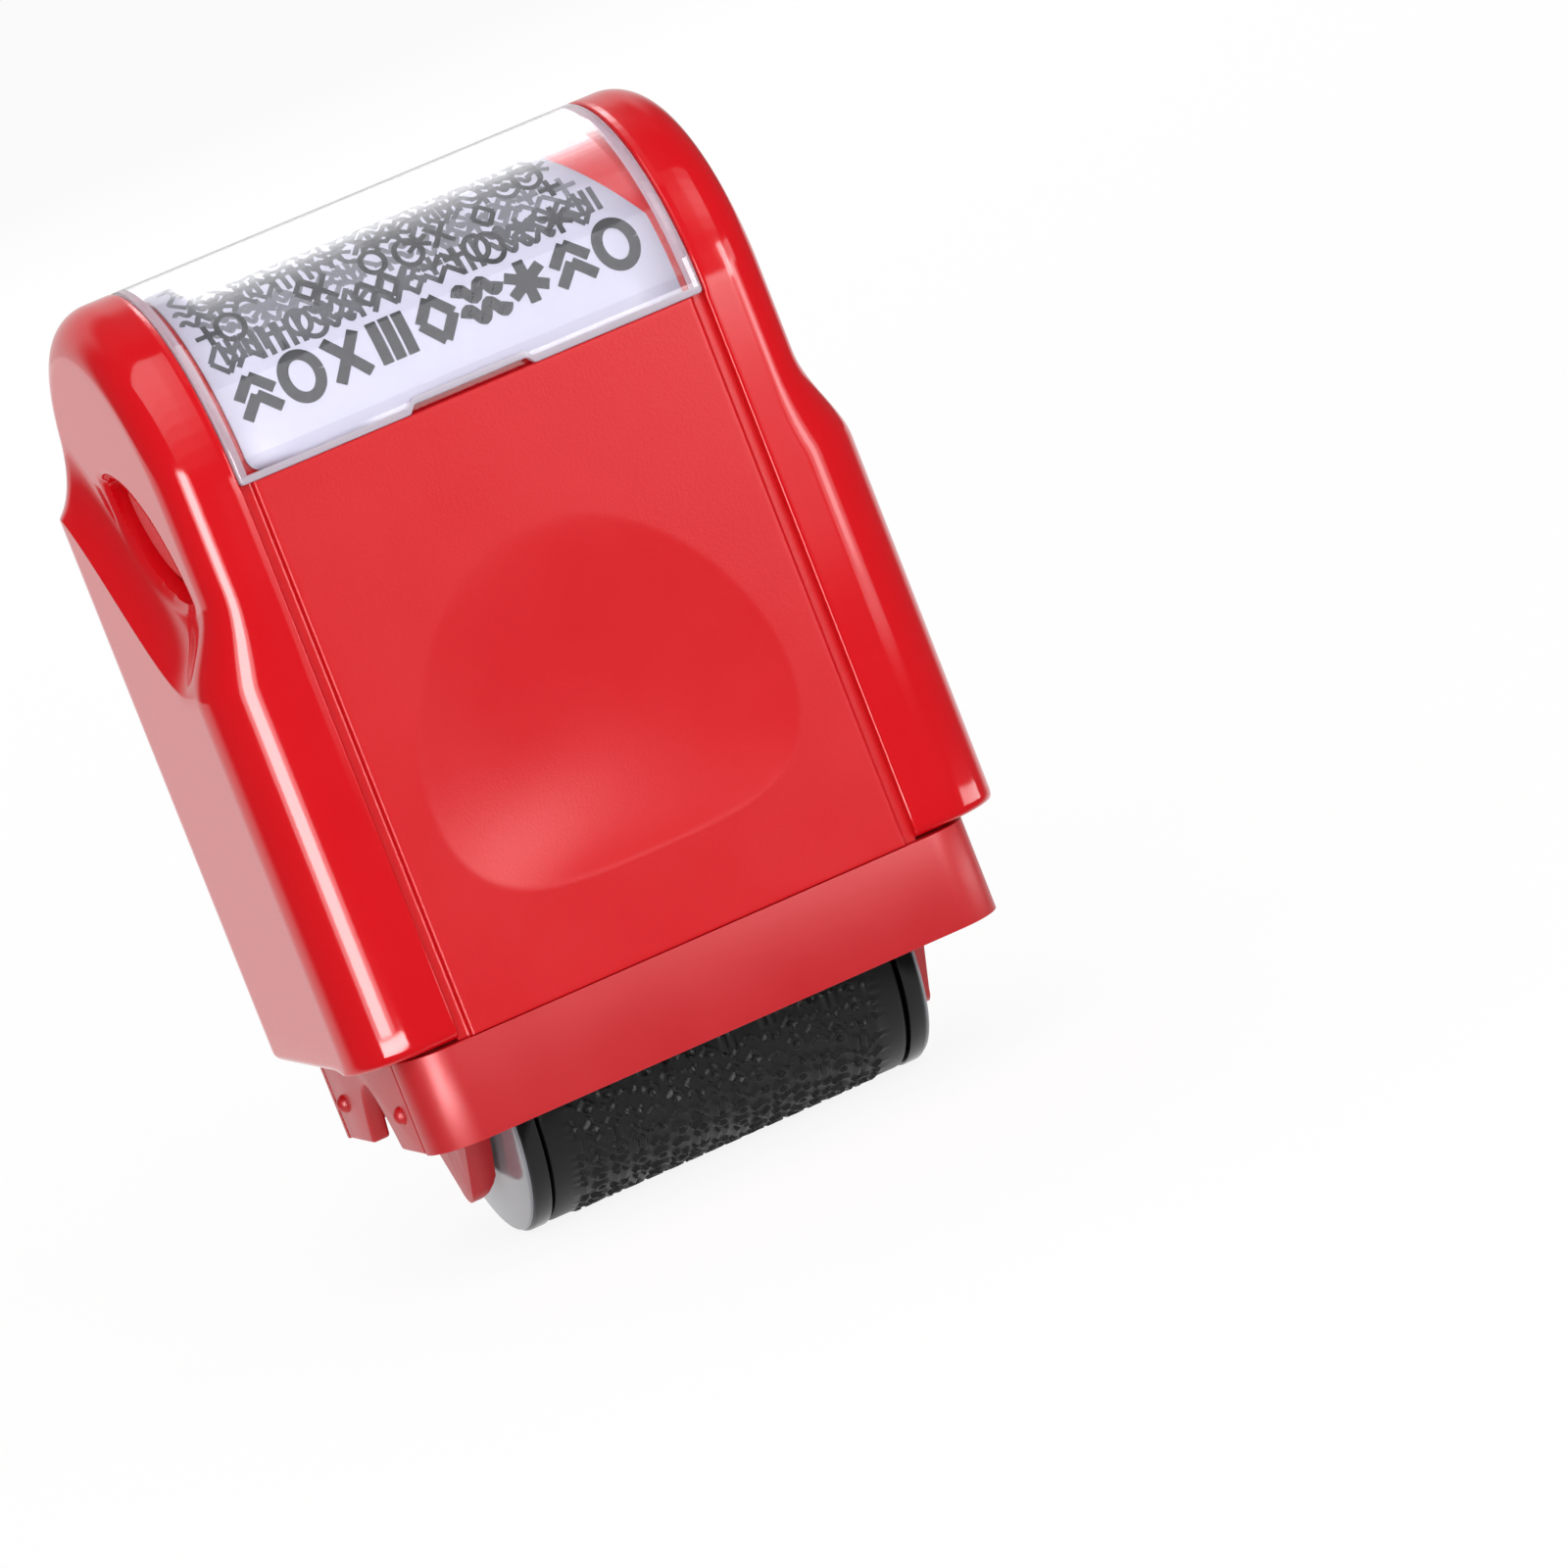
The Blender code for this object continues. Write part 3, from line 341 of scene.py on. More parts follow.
def arc(centre, radius, start, stop, count):
    """Points along an arc from one angle to another."""
    t = np.linspace(start, stop, count)
    return np.stack([centre[0] + radius * np.cos(t), centre[1] + radius * np.sin(t)], 1)


def quarter_arcs(low, high, outside, bore, edge, count=5):
    """The profile of a ring, or any other box, whose four corners are quarter circles."""
    corners = ((high - edge, outside - edge), (low + edge, outside - edge),
               (low + edge, bore + edge), (high - edge, bore + edge))
    return np.concatenate([arc(centre, edge, turn * np.pi / 2, (turn + 1) * np.pi / 2, count)
                           for turn, centre in enumerate(corners)])


def join(name, pieces):
    """One object out of several, which may stand apart."""
    shape = bmesh.new()
    for piece in pieces:
        shape.from_mesh(piece.data)
        bpy.data.objects.remove(piece)
    data = bpy.data.meshes.new(name)
    shape.to_mesh(data)
    shape.free()
    made = put(name, data)
    shade(made)
    return made


# Casing

def ease(t):
    """An S curve from 0 to 1, flat at both ends."""
    t = np.clip(t, 0.0, 1.0)
    return t * t * (3 - 2 * t)


def ridge(y):
    """Height of the ridge over the wide lower sides: low in front, high at the back."""
    return FOOT + RIDGE_FRONT + RIDGE_RISE * ease((y + RIDGE_START) / RIDGE_RUN)


def flare(y):
    """How far the hollow flare climbs above the ridge."""
    return FLARE_FRONT + (FLARE_BACK - FLARE_FRONT) * ease((y + RIDGE_START) / RIDGE_RUN)


def outline_point(run, sink, half_depth, side):
    """A point of the side view: straight up to the spring line, then round the dome, sunk inwards."""
    lean = np.maximum(run - SPRING, 0.0) / half_depth
    reach = half_depth - sink
    return side * reach * np.cos(lean), np.where(run <= SPRING, run, SPRING + reach * np.sin(lean))


def run_at(height, half_depth):
    """The run along the outline that reaches a height."""
    over = np.clip((height - SPRING) / half_depth, 0.0, 1.0)
    return np.where(height <= SPRING, height, SPRING + half_depth * np.arcsin(over))


def row_table(low_half, head_half, counts):
    """Rows of the casing from the foot up: shares of the ridge, the flare and the head, the drop at the
    rounded ridge, and the half width. The flare is a hollow quarter curve, and the ridge between it and the
    straight wall is a short parabola."""
    wall, corner, hollow, head = counts
    soft, crowding = 0.25, 1.6
    turn = np.linspace(FLARE_TURN, 0.0, hollow + 1)
    share = 1 - np.sin(turn) / np.sin(FLARE_TURN)
    wide = (low_half - head_half) * (1 - np.cos(turn)) / (1 - np.cos(FLARE_TURN))
    late = share > soft / FLARE_FRONT
    first = np.interp(soft / FLARE_FRONT, share, wide)
    t = np.linspace(0, 1, corner + 1)
    bend = np.stack([1 + 0 * t, (t ** 2) * soft / FLARE_FRONT, 0 * t, -soft * (1 - t) ** 2,
                     low_half - (low_half - head_half - first) * t ** 2], 1)
    rise = 1 - np.linspace(1, 0, wall + 1)[:-1] ** crowding
    straight = np.stack([rise, 0 * rise, 0 * rise, -soft * rise, low_half + 0 * rise], 1)
    share, wide = share[late], wide[late]
    cove = np.stack([1 + 0 * share, share, 0 * share, 0 * share, head_half + wide], 1)
    up = np.linspace(0, 1, head + 1)[1:]
    dome = np.stack([1 + 0 * up, 1 + 0 * up, up, 0 * up, head_half + 0 * up], 1)
    return np.concatenate([straight, bend, cove, dome])


def faded_width(z):
    """Half width at the front corners, where the ridge has faded out: one long S curve over the height, which
    begins a little below the ridge."""
    below = 1.2
    share = ease((z - ridge(-DEEP_HALF) + below) / (FLARE_FRONT + below))
    return LOW_HALF - (LOW_HALF - HEAD_HALF) * share


def casing_grid(low_half, head_half, half_depth, rounds, foot, counts, recess, foot_round):
    """Closed loops round the casing from its foot to its crest, as rows by columns by xyz.

    Each loop runs over the recess floor, up its wall, over a rounded lip, across the cheek, round the
    corner, along the side and back again; the left half mirrors the right one. The corner is a quarter
    circle, whose radius eases from the lower one to the upper one over the flare. On the outer skin the
    width eases along the side, and over the last cheek points, into one that has no ridge at the front.
    counts holds the steps up the wall, ridge, flare and head, and over the floor, corner and side.
    """
    table = row_table(low_half, head_half, counts[:4])
    climb, lift, up, drop, half = table.T[:, :, None]
    inset = 0 * climb
    if foot_round:
        turn = np.linspace(0, np.pi / 2, 6)[:-1, None]
        pull = foot_round * (1 - np.sin(turn))
        below = foot_round * (1 - np.cos(turn)) - foot_round
        climb, lift, up, drop, half, inset = (np.concatenate(pair) for pair in (
            (0 * turn, climb), (0 * turn, lift), (0 * turn, up), (below, drop), (low_half - pull, half),
            (pull, inset)))
    start = foot + foot_round
    corner = rounds[0] + (rounds[1] - rounds[0]) * ease(lift)
    edge_y = half_depth - corner

    def line(y):
        return start + climb * (ridge(y) - start) + lift * flare(y) + drop

    run_front, run_back = run_at(line(-edge_y), half_depth), run_at(line(edge_y), half_depth)
    crest = SPRING + half_depth * np.pi / 2
    run_front = run_front + (crest - run_front) * up
    run_back = run_back + (crest - run_back) * up
    floor_steps, corner_steps, side_steps = counts[4:]
    lip, slack, flat_steps, fade_run = 0.25, 0.1, 4, 5.5
    wide = WINDOW_HALF + 0 * half
    if recess:
        wide = wide + np.where(run_front > SPRING - 0.3, slack, 0.0)
        spread = np.linspace(0, 1, floor_steps)[None, :]
        quarter = np.linspace(0, np.pi / 2, 6)[None, :]
        x_parts = [wide * spread, wide + 0 * quarter[:, :2], wide + lip * (1 - np.cos(quarter))]
        sinks = [RECESS + 0 * wide * spread, RECESS * np.array([[0.66, 0.33]]) + 0 * wide,
                 lip * (1 - np.sin(quarter)) + 0 * wide]
    else:
        plain = np.linspace(0, 1, floor_steps + 8)[None, :]
        x_parts, sinks = [wide * plain], [0 * wide * plain]
    x_last = x_parts[-1][:, -1:]
    flat = np.linspace(0, 1, flat_steps + 1)[None, 1:]
    round_turn = np.linspace(0, np.pi / 2, corner_steps + 1)[None, 1:]
    x_parts += [x_last + (half - corner - x_last) * flat, half - corner + corner * np.sin(round_turn)]
    sinks += [0 * half * flat, corner * (1 - np.cos(round_turn))]
    x, sink = np.concatenate(x_parts, 1), np.concatenate(sinks, 1) + inset
    y_front, z_front = outline_point(run_front, sink, half_depth, -1.0)
    y_back, z_back = outline_point(run_back, sink, half_depth, 1.0)
    along = np.linspace(0, 1, side_steps + 1)[None, 1:-1]
    y_side = y_front[:, -1:] + (y_back[:, -1:] - y_front[:, -1:]) * along
    chord = line(-edge_y) + (line(edge_y) - line(-edge_y)) * (y_side + edge_y) / (2 * edge_y)
    z_side = z_front[:, -1:] + (z_back[:, -1:] - z_front[:, -1:]) * along + (line(y_side) - chord) * (1 - up)
    x_front, x_side = x, x[:, -1:] + 0 * y_side
    if recess:
        before = np.zeros(x.shape[1] - flat_steps - corner_steps)
        share = np.concatenate([before, flat[0], np.ones(corner_steps)])
        x_front = x + (faded_width(z_front) - half) * share
        x_side = x_side + (faded_width(z_side) - half) * ease(1 - (y_side + edge_y) / fade_run)
    parts = [np.stack([x_front, y_front, z_front], -1), np.stack([x_side, y_side, z_side], -1),
             np.stack([x, y_back, z_back], -1)[:, ::-1]]
    right = np.concatenate(parts, 1)
    left = right[:, ::-1] * np.array([-1.0, 1.0, 1.0])
    return np.concatenate([right, left], 1)


def hole_measure(y, z):
    """About the signed distance in millimetres from the edge of the slanting lens-shaped finger hole: its
    implicit form, scaled by the distance from its middle up to a steepest value."""
    steepest, least = 0.9, 0.1
    u = (y - HOLE_Y) * np.cos(HOLE_TILT) + (z - HOLE_Z) * np.sin(HOLE_TILT)
    v = -(y - HOLE_Y) * np.sin(HOLE_TILT) + (z - HOLE_Z) * np.cos(HOLE_TILT)
    a, b = HOLE_LONG / 2, HOLE_WIDE / 2
    reach = np.sqrt((u / a) ** 2 + np.abs(v / b) ** (4 / 3) + 1e-9)
    return (reach - 1) * np.minimum(b / steepest, np.hypot(u, v) + least)


def hole_outline(grow, count=64):
    """The finger hole's outline in y and z: v follows sin t times the root of its size, so that both ends
    are pointed."""
    t = np.linspace(0, TURN, count, endpoint=False)
    u = (HOLE_LONG / 2 + grow) * np.cos(t)
    v = (HOLE_WIDE / 2 + grow) * np.sin(t) * np.sqrt(np.abs(np.sin(t)))
    return np.stack([HOLE_Y + u * np.cos(HOLE_TILT) - v * np.sin(HOLE_TILT),
                     HOLE_Z + u * np.sin(HOLE_TILT) + v * np.cos(HOLE_TILT)], 1)


def dent_half(t):
    """Half width of the thumb dent at a share t of its height: broad and flat below, narrow above."""
    peak = (1 / 3) ** 0.25 * (2 / 3) ** 0.5
    t = np.clip(t, 0.0, 1.0)
    return DENT_WIDE / 2 * t ** 0.25 * (1 - t) ** 0.5 / peak


def dent(x, z):
    """Depth of the thumb dent: a parabola across, times powers of t and 1 - t up the panel. It is deepest a
    third of the way up, with a short steep wall below and a long fade to the apex."""
    t = np.clip((z - FOOT - DENT_LOW) / DENT_TALL, 0.0, 1.0)
    bowl = np.clip(1 - (x / np.maximum(dent_half(t), 0.01)) ** 2, 0.0, 1.0)
    deepest, wall, fade = 0.36, 0.9, 1.6
    return DENT_DEEP * bowl * (t / deepest) ** wall * ((1 - t) / (1 - deepest)) ** fade


def casing():
    """The moulded casing: outer skin and hollow in one closed grid, then the two finger holes, the openings
    behind the thumb dents and the lugs for the latch pins. The holes' rims are sunk by a quarter circle."""
    outer = casing_grid(LOW_HALF, HEAD_HALF, DEEP_HALF, (LOW_ROUND, HEAD_ROUND), FOOT,
                        (28, 5, 22, 84, 9, 22, 84), True, FOOT_ROUND)
    side = np.abs(outer[..., 0]) > HEAD_HALF - 0.6
    gap = np.clip(hole_measure(outer[..., 1], outer[..., 2]), 0.0, LIP)
    sunk = LIP - np.sqrt(np.maximum(LIP ** 2 - (LIP - gap) ** 2, 0.0))
    outer[..., 0] -= np.sign(outer[..., 0]) * np.where(side, sunk * LIP_SHARE, 0.0)
    inner = casing_grid(CAVITY_LOW, CAVITY_HEAD, CAVITY_DEEP, CAVITY_ROUNDS, FOOT,
                        (6, 2, 8, 24, 9, 22, 84), False, 0.0)
    points = np.concatenate([inner[::-1], outer])
    made = shell("casing_shell", points, weld=0.004)
    for hand in (-1, 1):
        start, stop = hand * (CAVITY_HEAD - 0.6), hand * (LOW_HALF + 2.0)
        cut(made, prism("hole_tool", hole_outline(0.0), start, stop, "X"))
    around, behind = 1.0, 2.0
    shares = 0.5 - 0.5 * np.cos(np.linspace(0, np.pi, 25))
    across = dent_half(shares) + np.where((shares > 0) & (shares < 1), around, 0.0)
    rise = FOOT + DENT_LOW - around + (DENT_TALL + 2 * around) * shares
    loop = np.concatenate([np.stack([across, rise], 1), np.stack([-across, rise], 1)[-2:0:-1]])
    for hand in (-1, 1):
        start, stop = hand * (CAVITY_DEEP - behind), hand * (CAVITY_DEEP + 2.3)
        cut(made, prism("dent_tool", loop, start, stop, "Y"))
    shade(made, 38.0)
    lug_x, wide, thick, tall = 25.3, 2.3, 1.0, 2.4
    lugs = [prism("lug", box(x - wide, x + wide, y - thick, y + thick), PIN_Z - tall, PIN_Z + tall, "Z")
            for x in (-lug_x, lug_x) for y in (-12.5, 8.3)]
    return dress(join("casing_shell", [made, *lugs]), "gloss_red_abs", "casing", "gloss_red", "outer_casing")


def panel_edges(low, high, count, start, lip):
    """Places from low to high across the panel and how far each is sunk: the flange's points, a quarter
    circle over the lip, a flat middle, and the same mirrored."""
    quarter = np.linspace(0, np.pi / 2, 5)
    middle = np.linspace(low + lip, high - lip, count)[1:-1]
    fold_place = np.concatenate([start[:, 0], lip * (1 - np.cos(quarter))])
    fold_sink = np.concatenate([start[:, 1], lip * (1 - np.sin(quarter))])
    place = np.concatenate([low + fold_place, middle, (high - fold_place)[::-1]])
    return place, np.concatenate([fold_sink, 0 * middle, fold_sink[::-1]])


def grip_panel(word, hand):
    """A matt panel with a thumb dent. Its rounded face stands in the casing's recess, between two grooves
    whose floor is the panel's own flange."""
    lip, end_lip, groove, reach, wall = 0.3, 0.12, 0.75, 1.12, 0.9
    flange = np.array([[-reach, PANEL_DEEP], [-reach, groove], [-0.3, groove], [-0.08, groove - 0.05],
                       [0.0, groove - 0.2]])
    x, x_sink = panel_edges(-PANEL_HALF, PANEL_HALF, 150, flange, lip)
    z, z_sink = panel_edges(FOOT - 0.24, SPRING - 0.3, 176, np.array([[0.0, PANEL_DEEP]]), end_lip)
    grid_x, grid_z = np.meshgrid(x, z)
    sink = np.maximum(x_sink[None, :], z_sink[:, None])
    hollow = dent(grid_x, grid_z)
    face = hand * (PANEL_FACE - np.maximum(sink, hollow))
    back = hand * (PANEL_FACE - np.maximum(PANEL_DEEP, hollow + wall))
    skins = [np.stack([-hand * grid_x, face, grid_z], -1), np.stack([-hand * grid_x, back, grid_z], -1)[::-1]]
    made = surface(word + "_panel", np.concatenate(skins), wrap_rows=True)
    finish_shell(made, weld=0.003, cap=True, angle=50.0)
    return dress(made, "grained_red_abs", "casing", "grained_red", word + "_grip_panel")


# Window and label

def on_dome(x, run, radius):
    """A point at x, a run in millimetres up the dome from the front spring line, at that radius."""
    return about_x(x, radius, run / radius, SPRING) * [1, -1, 1]


def notch_rise(x):
    """How high the nail notch rises at x, in millimetres: flat, with an S curve at each end."""
    return NOTCH_DEEP * ease((NOTCH_HALF - np.abs(x)) / NOTCH_SLANT)


def window():
    """A clear half tube round the dome: a thin wall with rounded edges and a nail notch in the middle of both
    feet. Its feet and ends get a milky colour of their own, a painted glow for the light that gathers there."""
    edge, inner_end, painted_glow_band = 0.38, 20.9, 0.35
    quarter = np.linspace(0, np.pi / 2, 6)
    end_x, end_fold = WINDOW_HALF - edge * (1 - np.sin(quarter)), edge * (1 - np.cos(quarter))
    shoulder = np.linspace(NOTCH_HALF - 1.0, NOTCH_HALF + 0.2, 9)
    middle_x = np.concatenate([[-inner_end, -14.0], -shoulder[::-1], [0.0], shoulder, [14.0, inner_end]])
    x = np.concatenate([-end_x[::-1], middle_x, end_x])
    fold = np.concatenate([end_fold[::-1], 0 * middle_x, end_fold])[:, None]
    low = (notch_rise(x)[:, None] + fold * 0.6) / WINDOW_OUT
    shares = np.concatenate([[0.0, 0.007], np.linspace(0.02, 0.98, 95), [0.993, 1.0]])
    lean = low + (np.pi - 2 * low) * shares
    outer, inner = WINDOW_OUT - fold, WINDOW_IN + fold
    middle, half = (outer + inner) / 2, (outer - inner) / 2
    tip = np.linspace(-np.pi / 2, np.pi / 2, 9)[1:-1]
    swell = half * np.cos(tip) ** 0.6 * 0.5 / WINDOW_OUT
    rings = [outer + 0 * lean, middle - half * np.sin(tip), inner + 0 * lean, middle + half * np.sin(tip)]
    turns = [lean, lean[:, -1:] + swell, lean[:, ::-1], lean[:, :1] - swell]
    radius, angle = np.concatenate(rings, 1), np.concatenate(turns, 1)
    points = about_x(x[:, None], radius, angle, SPRING) * [1, -1, 1]
    made = shell("clear_window", points, weld=0.001, cap=True)
    dress(made, "clear_polystyrene", "window", "clear_window", "window_cover")
    made.data.materials.append(MATERIALS["polystyrene_painted_edge_glow"])
    count = len(made.data.polygons)
    normal, centre = np.empty(count * 3), np.empty(count * 3)
    made.data.polygons.foreach_get("normal", normal)
    made.data.polygons.foreach_get("center", centre)
    x, y, z = centre[0::3] / MM, centre[1::3] / MM, centre[2::3] / MM - SPRING
    at_foot = np.arctan2(z, np.abs(y)) * WINDOW_OUT < notch_rise(x) + painted_glow_band
    inside_end = (np.abs(x) > inner_end) & (np.hypot(y, z) < WINDOW_IN + 0.2)
    at_end = (np.abs(normal[0::3]) > 0.5) | inside_end
    # The feet and ends take the milky second material: a painted glow for the light that gathers in the edges
    made.data.polygons.foreach_set("material_index", (at_end | at_foot).astype(np.int32))
    return made


def label_slant(run):
    """How far the label's slanted upper right edge has come in from its side: in proportion to the angle."""
    return LABEL_TAPER * np.clip((run / LABEL_OUT - TAPER_START) / TAPER_SWEEP, 0.0, 1.0)


def label():
    """The paper label: a thin sheet on the dome's floor, with a rounded lower left corner and a slanted
    upper right edge."""
    corner, foot_gap = 1.2, 0.3
    fine = [0.0, 0.02, 0.1, 0.25, 0.45, 0.7, 0.95]
    run = np.concatenate([fine, np.linspace(corner, LABEL_OUT * LABEL_SWEEP, 60)])
    pull = corner - np.sqrt(np.maximum(corner ** 2 - np.maximum(corner - run, 0.0) ** 2, 0.0))
    left, right = -LABEL_HALF + pull, LABEL_HALF - label_slant(run)
    x = left[:, None] + (right - left)[:, None] * np.linspace(0, 1, 9)[None, :]
    made = surface("label_sheet", on_dome(x, run[:, None] + foot_gap + 0 * x, LABEL_OUT))
    shade(made)
    wall = made.modifiers.new("thickness", "SOLIDIFY")
    wall.thickness = LABEL_THICK * MM
    wall.offset = -1.0 if made.data.polygons[0].normal.y < 0 else 1.0
    return dress(made, "label_paper", "casing", "label_paper", "index_label")


def stroke(path, width):
    """A flat band of that width along a path, as rows of left and right edge points."""
    path = np.asarray(path, float)
    ahead = np.gradient(path, axis=0)
    ahead /= np.maximum(np.linalg.norm(ahead, axis=1, keepdims=True), 1e-9)
    across = np.stack([-ahead[:, 1], ahead[:, 0]], 1) * width / 2
    return np.stack([path + across, path - across], 1)


def motif(kind, size, width):
    """Bands that draw one generic mark in a square of that size round the origin."""
    h = size / 2
    t, u = np.linspace(0, TURN, 29), np.linspace(-1, 1, 25)
    line, fold = np.linspace(-1, 1, 9)[:, None], np.linspace(0, 1, 6)[:, None]

    def bent(*corners):
        corners = np.array(corners, float) * h
        return [a + (b - a) * fold for a, b in zip(corners, corners[1:])]

    paths = {
        "ring": [np.stack([h * 0.8 * np.cos(t), h * np.sin(t)], 1)],
        "cross": [line * [h * 0.75, h], line * [-h * 0.75, h]],
        "bars": [line * [0, h] + [k * h * 0.62, 0] for k in (-1, 0, 1)],
        "diamond": bent((0, -1), (0.8, 0), (0, 1), (-0.8, 0), (0, -1)),
        "chevron": [leg + [0, s * h * 0.45] for s in (-1, 1)
                    for leg in bent((-0.85, -0.45), (0, 0.45), (0.85, -0.45))],
        "wave": [np.stack([u * h, h * 0.32 * np.sin(u * TURN) + k * h * 0.5], 1) for k in (-1, 1)],
        "star": [line * [h * np.cos(a), h * np.sin(a)] for a in np.radians([90, 30, 150])],
        "plus": [line * [h * 0.8, 0], line * [0, h * 0.8]]}
    return [stroke(path, width) for path in paths[kind]]


def printed_marks(name, marks, material, lift):
    """Ink on the label: every mark's bands, each laid on the dome a hair above the paper.

    marks holds rows of kind, place along x, run up the dome, size and line width.
    """
    corners, faces, count = [], [], 0
    for kind, x, run, size, width in marks:
        for band in motif(kind, size, width):
            corners.append(on_dome(band[..., 0] + x, band[..., 1] + run, LABEL_OUT + lift).reshape(-1, 3))
            faces.append(quads_of(len(band), 2) + count)
            count += len(band) * 2
    made = mesh_from(name, np.concatenate(corners), np.concatenate(faces))
    flip = bmesh.new()
    flip.from_mesh(made.data)
    axis = Vector((0, 0, SPRING * MM))
    inward = [f for f in flip.faces if f.normal.yz.dot((f.calc_center_median() - axis).yz) < 0]
    bmesh.ops.reverse_faces(flip, faces=inward)
    flip.to_mesh(made.data)
    flip.free()
    made.data.shade_smooth()
    return dress(made, material, "casing", "label_paper")


def label_print():
    """A generic masking print: a bold row at the foot, and close rows of mixed small marks above it. In each
    row every other mark is smaller and half a millimetre higher. The second row is the palest."""
    chance = np.random.default_rng(7)
    bold = ["chevron", "ring", "cross", "bars", "diamond", "wave", "star"]
    bold_start, bold_step, bold_run, bold_size, bold_width = -17.2, 4.25, 6.2, 3.9, 1.0
    layers = {"pale": [], "grey": [], "dark": [
        (bold[i % 7], bold_start + bold_step * i, bold_run, bold_size, bold_width) for i in range(9)]}
    small = ["cross", "diamond", "chevron", "bars", "plus", "ring", "wave", "star"]
    start, step, first_run, row_step, width, margin = -18.3, 1.05, 10.3, 2.75, 0.5, 1.6
    for row, tone in enumerate(["grey", "pale", "grey", "grey", "dark", "dark", "grey"]):
        run = first_run + row_step * row
        for i in range(36):
            x = start + step * i
            if x > LABEL_HALF - margin - label_slant(run):
                break
            odd = i % 2
            kind = small[(i // 2 + 3 * row + 2 * odd + chance.integers(2)) % 8]
            layer = "dark" if chance.random() < 0.25 else tone
            layers[layer].append((kind, x, run + 0.5 * odd, 2.5 if odd else 2.9, width))
    for layer, lift in (("pale", 0.012), ("grey", 0.02), ("dark", 0.028)):
        printed_marks("label_print_" + layer, layers[layer], "label_ink_" + layer, lift)


# Latches and cartridge frame

def release_latch(word, hand):
    """The lever behind the finger hole: a rounded plate on a short barrel, with a crowned pad that stands in
    the hole."""
    front, back, top, foot, r = -11.2, 7.0, 75.5, 45.5, 2.5
    plate = prism("plate", quarter_arcs(front, back, top, foot, r, 9), hand * 24.7, hand * 26.1, "X")
    barrel = rod_y("barrel", 2.1, hand * 25.4, PIN_Z, front + 0.3, back - 0.3)
    pad_base, crown, pad_gap = 26.0, 1.15, 0.55
    rings = np.linspace(0.0, 1.0, 14)[:, None, None]
    middle = np.array([HOLE_Y, HOLE_Z])
    flat = middle + (hole_outline(-pad_gap)[None] - middle) * rings
    height = pad_base + crown * (1 - rings[..., 0] ** 6) + 0 * flat[..., 0]
    points = np.stack([hand * height, flat[..., 0], flat[..., 1]], -1)
    made = join(word + "_latch_lever", [bevelled(plate, 0.25), barrel, shell("button", points, cap=True)])
    return dress(made, "matt_red_abs", word + "_latch", "satin_red", word + "_release_latch")


def rod_y(name, radius, x, z, low, high, steps=40):
    """A round bar along Y with slightly chamfered ends."""
    t = np.linspace(0, TURN, steps, endpoint=False)[None, :]
    edge = radius * 0.15
    place = np.array([low, low, low + edge, high - edge, high, high])[:, None]
    size = np.array([0.0, radius - edge, radius, radius, radius - edge, 0.0])[:, None]
    return shell(name, np.stack([x + size * np.cos(t), place + 0 * t, z + size * np.sin(t)], -1))


def side_frame(word, hand):
    """One moulded end of the cartridge: the arm that carries both axles, the web, and the outer wall with its
    arch and two nubs. The arm's foot is a V with a round tip, cut back on its inner face."""
    neck, wide, top, r, tip_z = 7.0, 12.0, 43.0, 2.0, 6.2
    lean = np.arcsin(r / np.hypot(neck, SKIRT_LOW - tip_z))
    slope = np.arctan2(SKIRT_LOW - tip_z, neck) - lean
    tip = arc((0.0, tip_z), r, slope - np.pi, -slope, 17)
    shoulder = arc((wide - r, top - r), r, 0, np.pi / 2, 9)
    right = np.concatenate([[[neck, SKIRT_LOW], [wide, SKIRT_TOP]], shoulder])
    loop = np.concatenate([tip, right, (right * [-1, 1])[::-1]])
    arm = prism("arm", loop, hand * ARM_IN, hand * ARM_OUT, "X")
    bore_steps = 48
    for radius, z in ((2.3, AXLE_Z), (2.1, INK_Z)):
        bore = arc((0.0, z), radius, 0, TURN - TURN / bore_steps, bore_steps)
        cut(arm, prism("bore_tool", bore, hand * (ARM_IN - 1), hand * (ARM_OUT + 1), "X"))
    slant = np.array([[ARM_IN - 0.5, 3.0], [ARM_OUT - 0.9, 3.0], [ARM_OUT - 0.9, 4.25], [ARM_OUT - 1.5, 4.6],
                      [ARM_IN + 0.3, 5.3], [ARM_IN - 0.5, 7.0]]) * [hand, 1]
    cut(arm, prism("slant_tool", slant, -6.0, 6.0, "Y"))
    guide, web_half, web_thick = SKIRT_TOP + 7.2, 11.7, 2.4
    low, high = sorted((hand * (ARM_OUT - 0.5), hand * (SKIRT_HALF - SKIRT_WALL + 0.5)))
    web = prism("web", box(low, high, -web_half, web_half), guide - web_thick, guide, "Z")
    arch_half, arch_tall = 4.8, 5.7
    arch_t = np.linspace(1, -1, 25)
    arch = np.stack([arch_half * arch_t, SKIRT_LOW + arch_tall * (1 - arch_t ** 2)], 1)
    half = SEAM - SEAM_GAP
    loop = np.concatenate([[[half, SKIRT_LOW]], arch, [[-half, SKIRT_LOW], [-half, guide], [half, guide]]])
    wall = prism("wall", loop, hand * (SKIRT_HALF - SKIRT_WALL), hand * SKIRT_HALF, "X")
    nubs = [ball("nub", 0.85, (hand * (SKIRT_HALF - 0.1), y, SKIRT_LOW + 3.5)) for y in (-9.4, 9.4)]
    made = join(word + "_end_frame", [*(bevelled(piece, 0.3) for piece in (arm, web, wall)), *nubs])
    return dress(made, "satin_red_abs", "cartridge", "satin_red", word + "_side_frame")


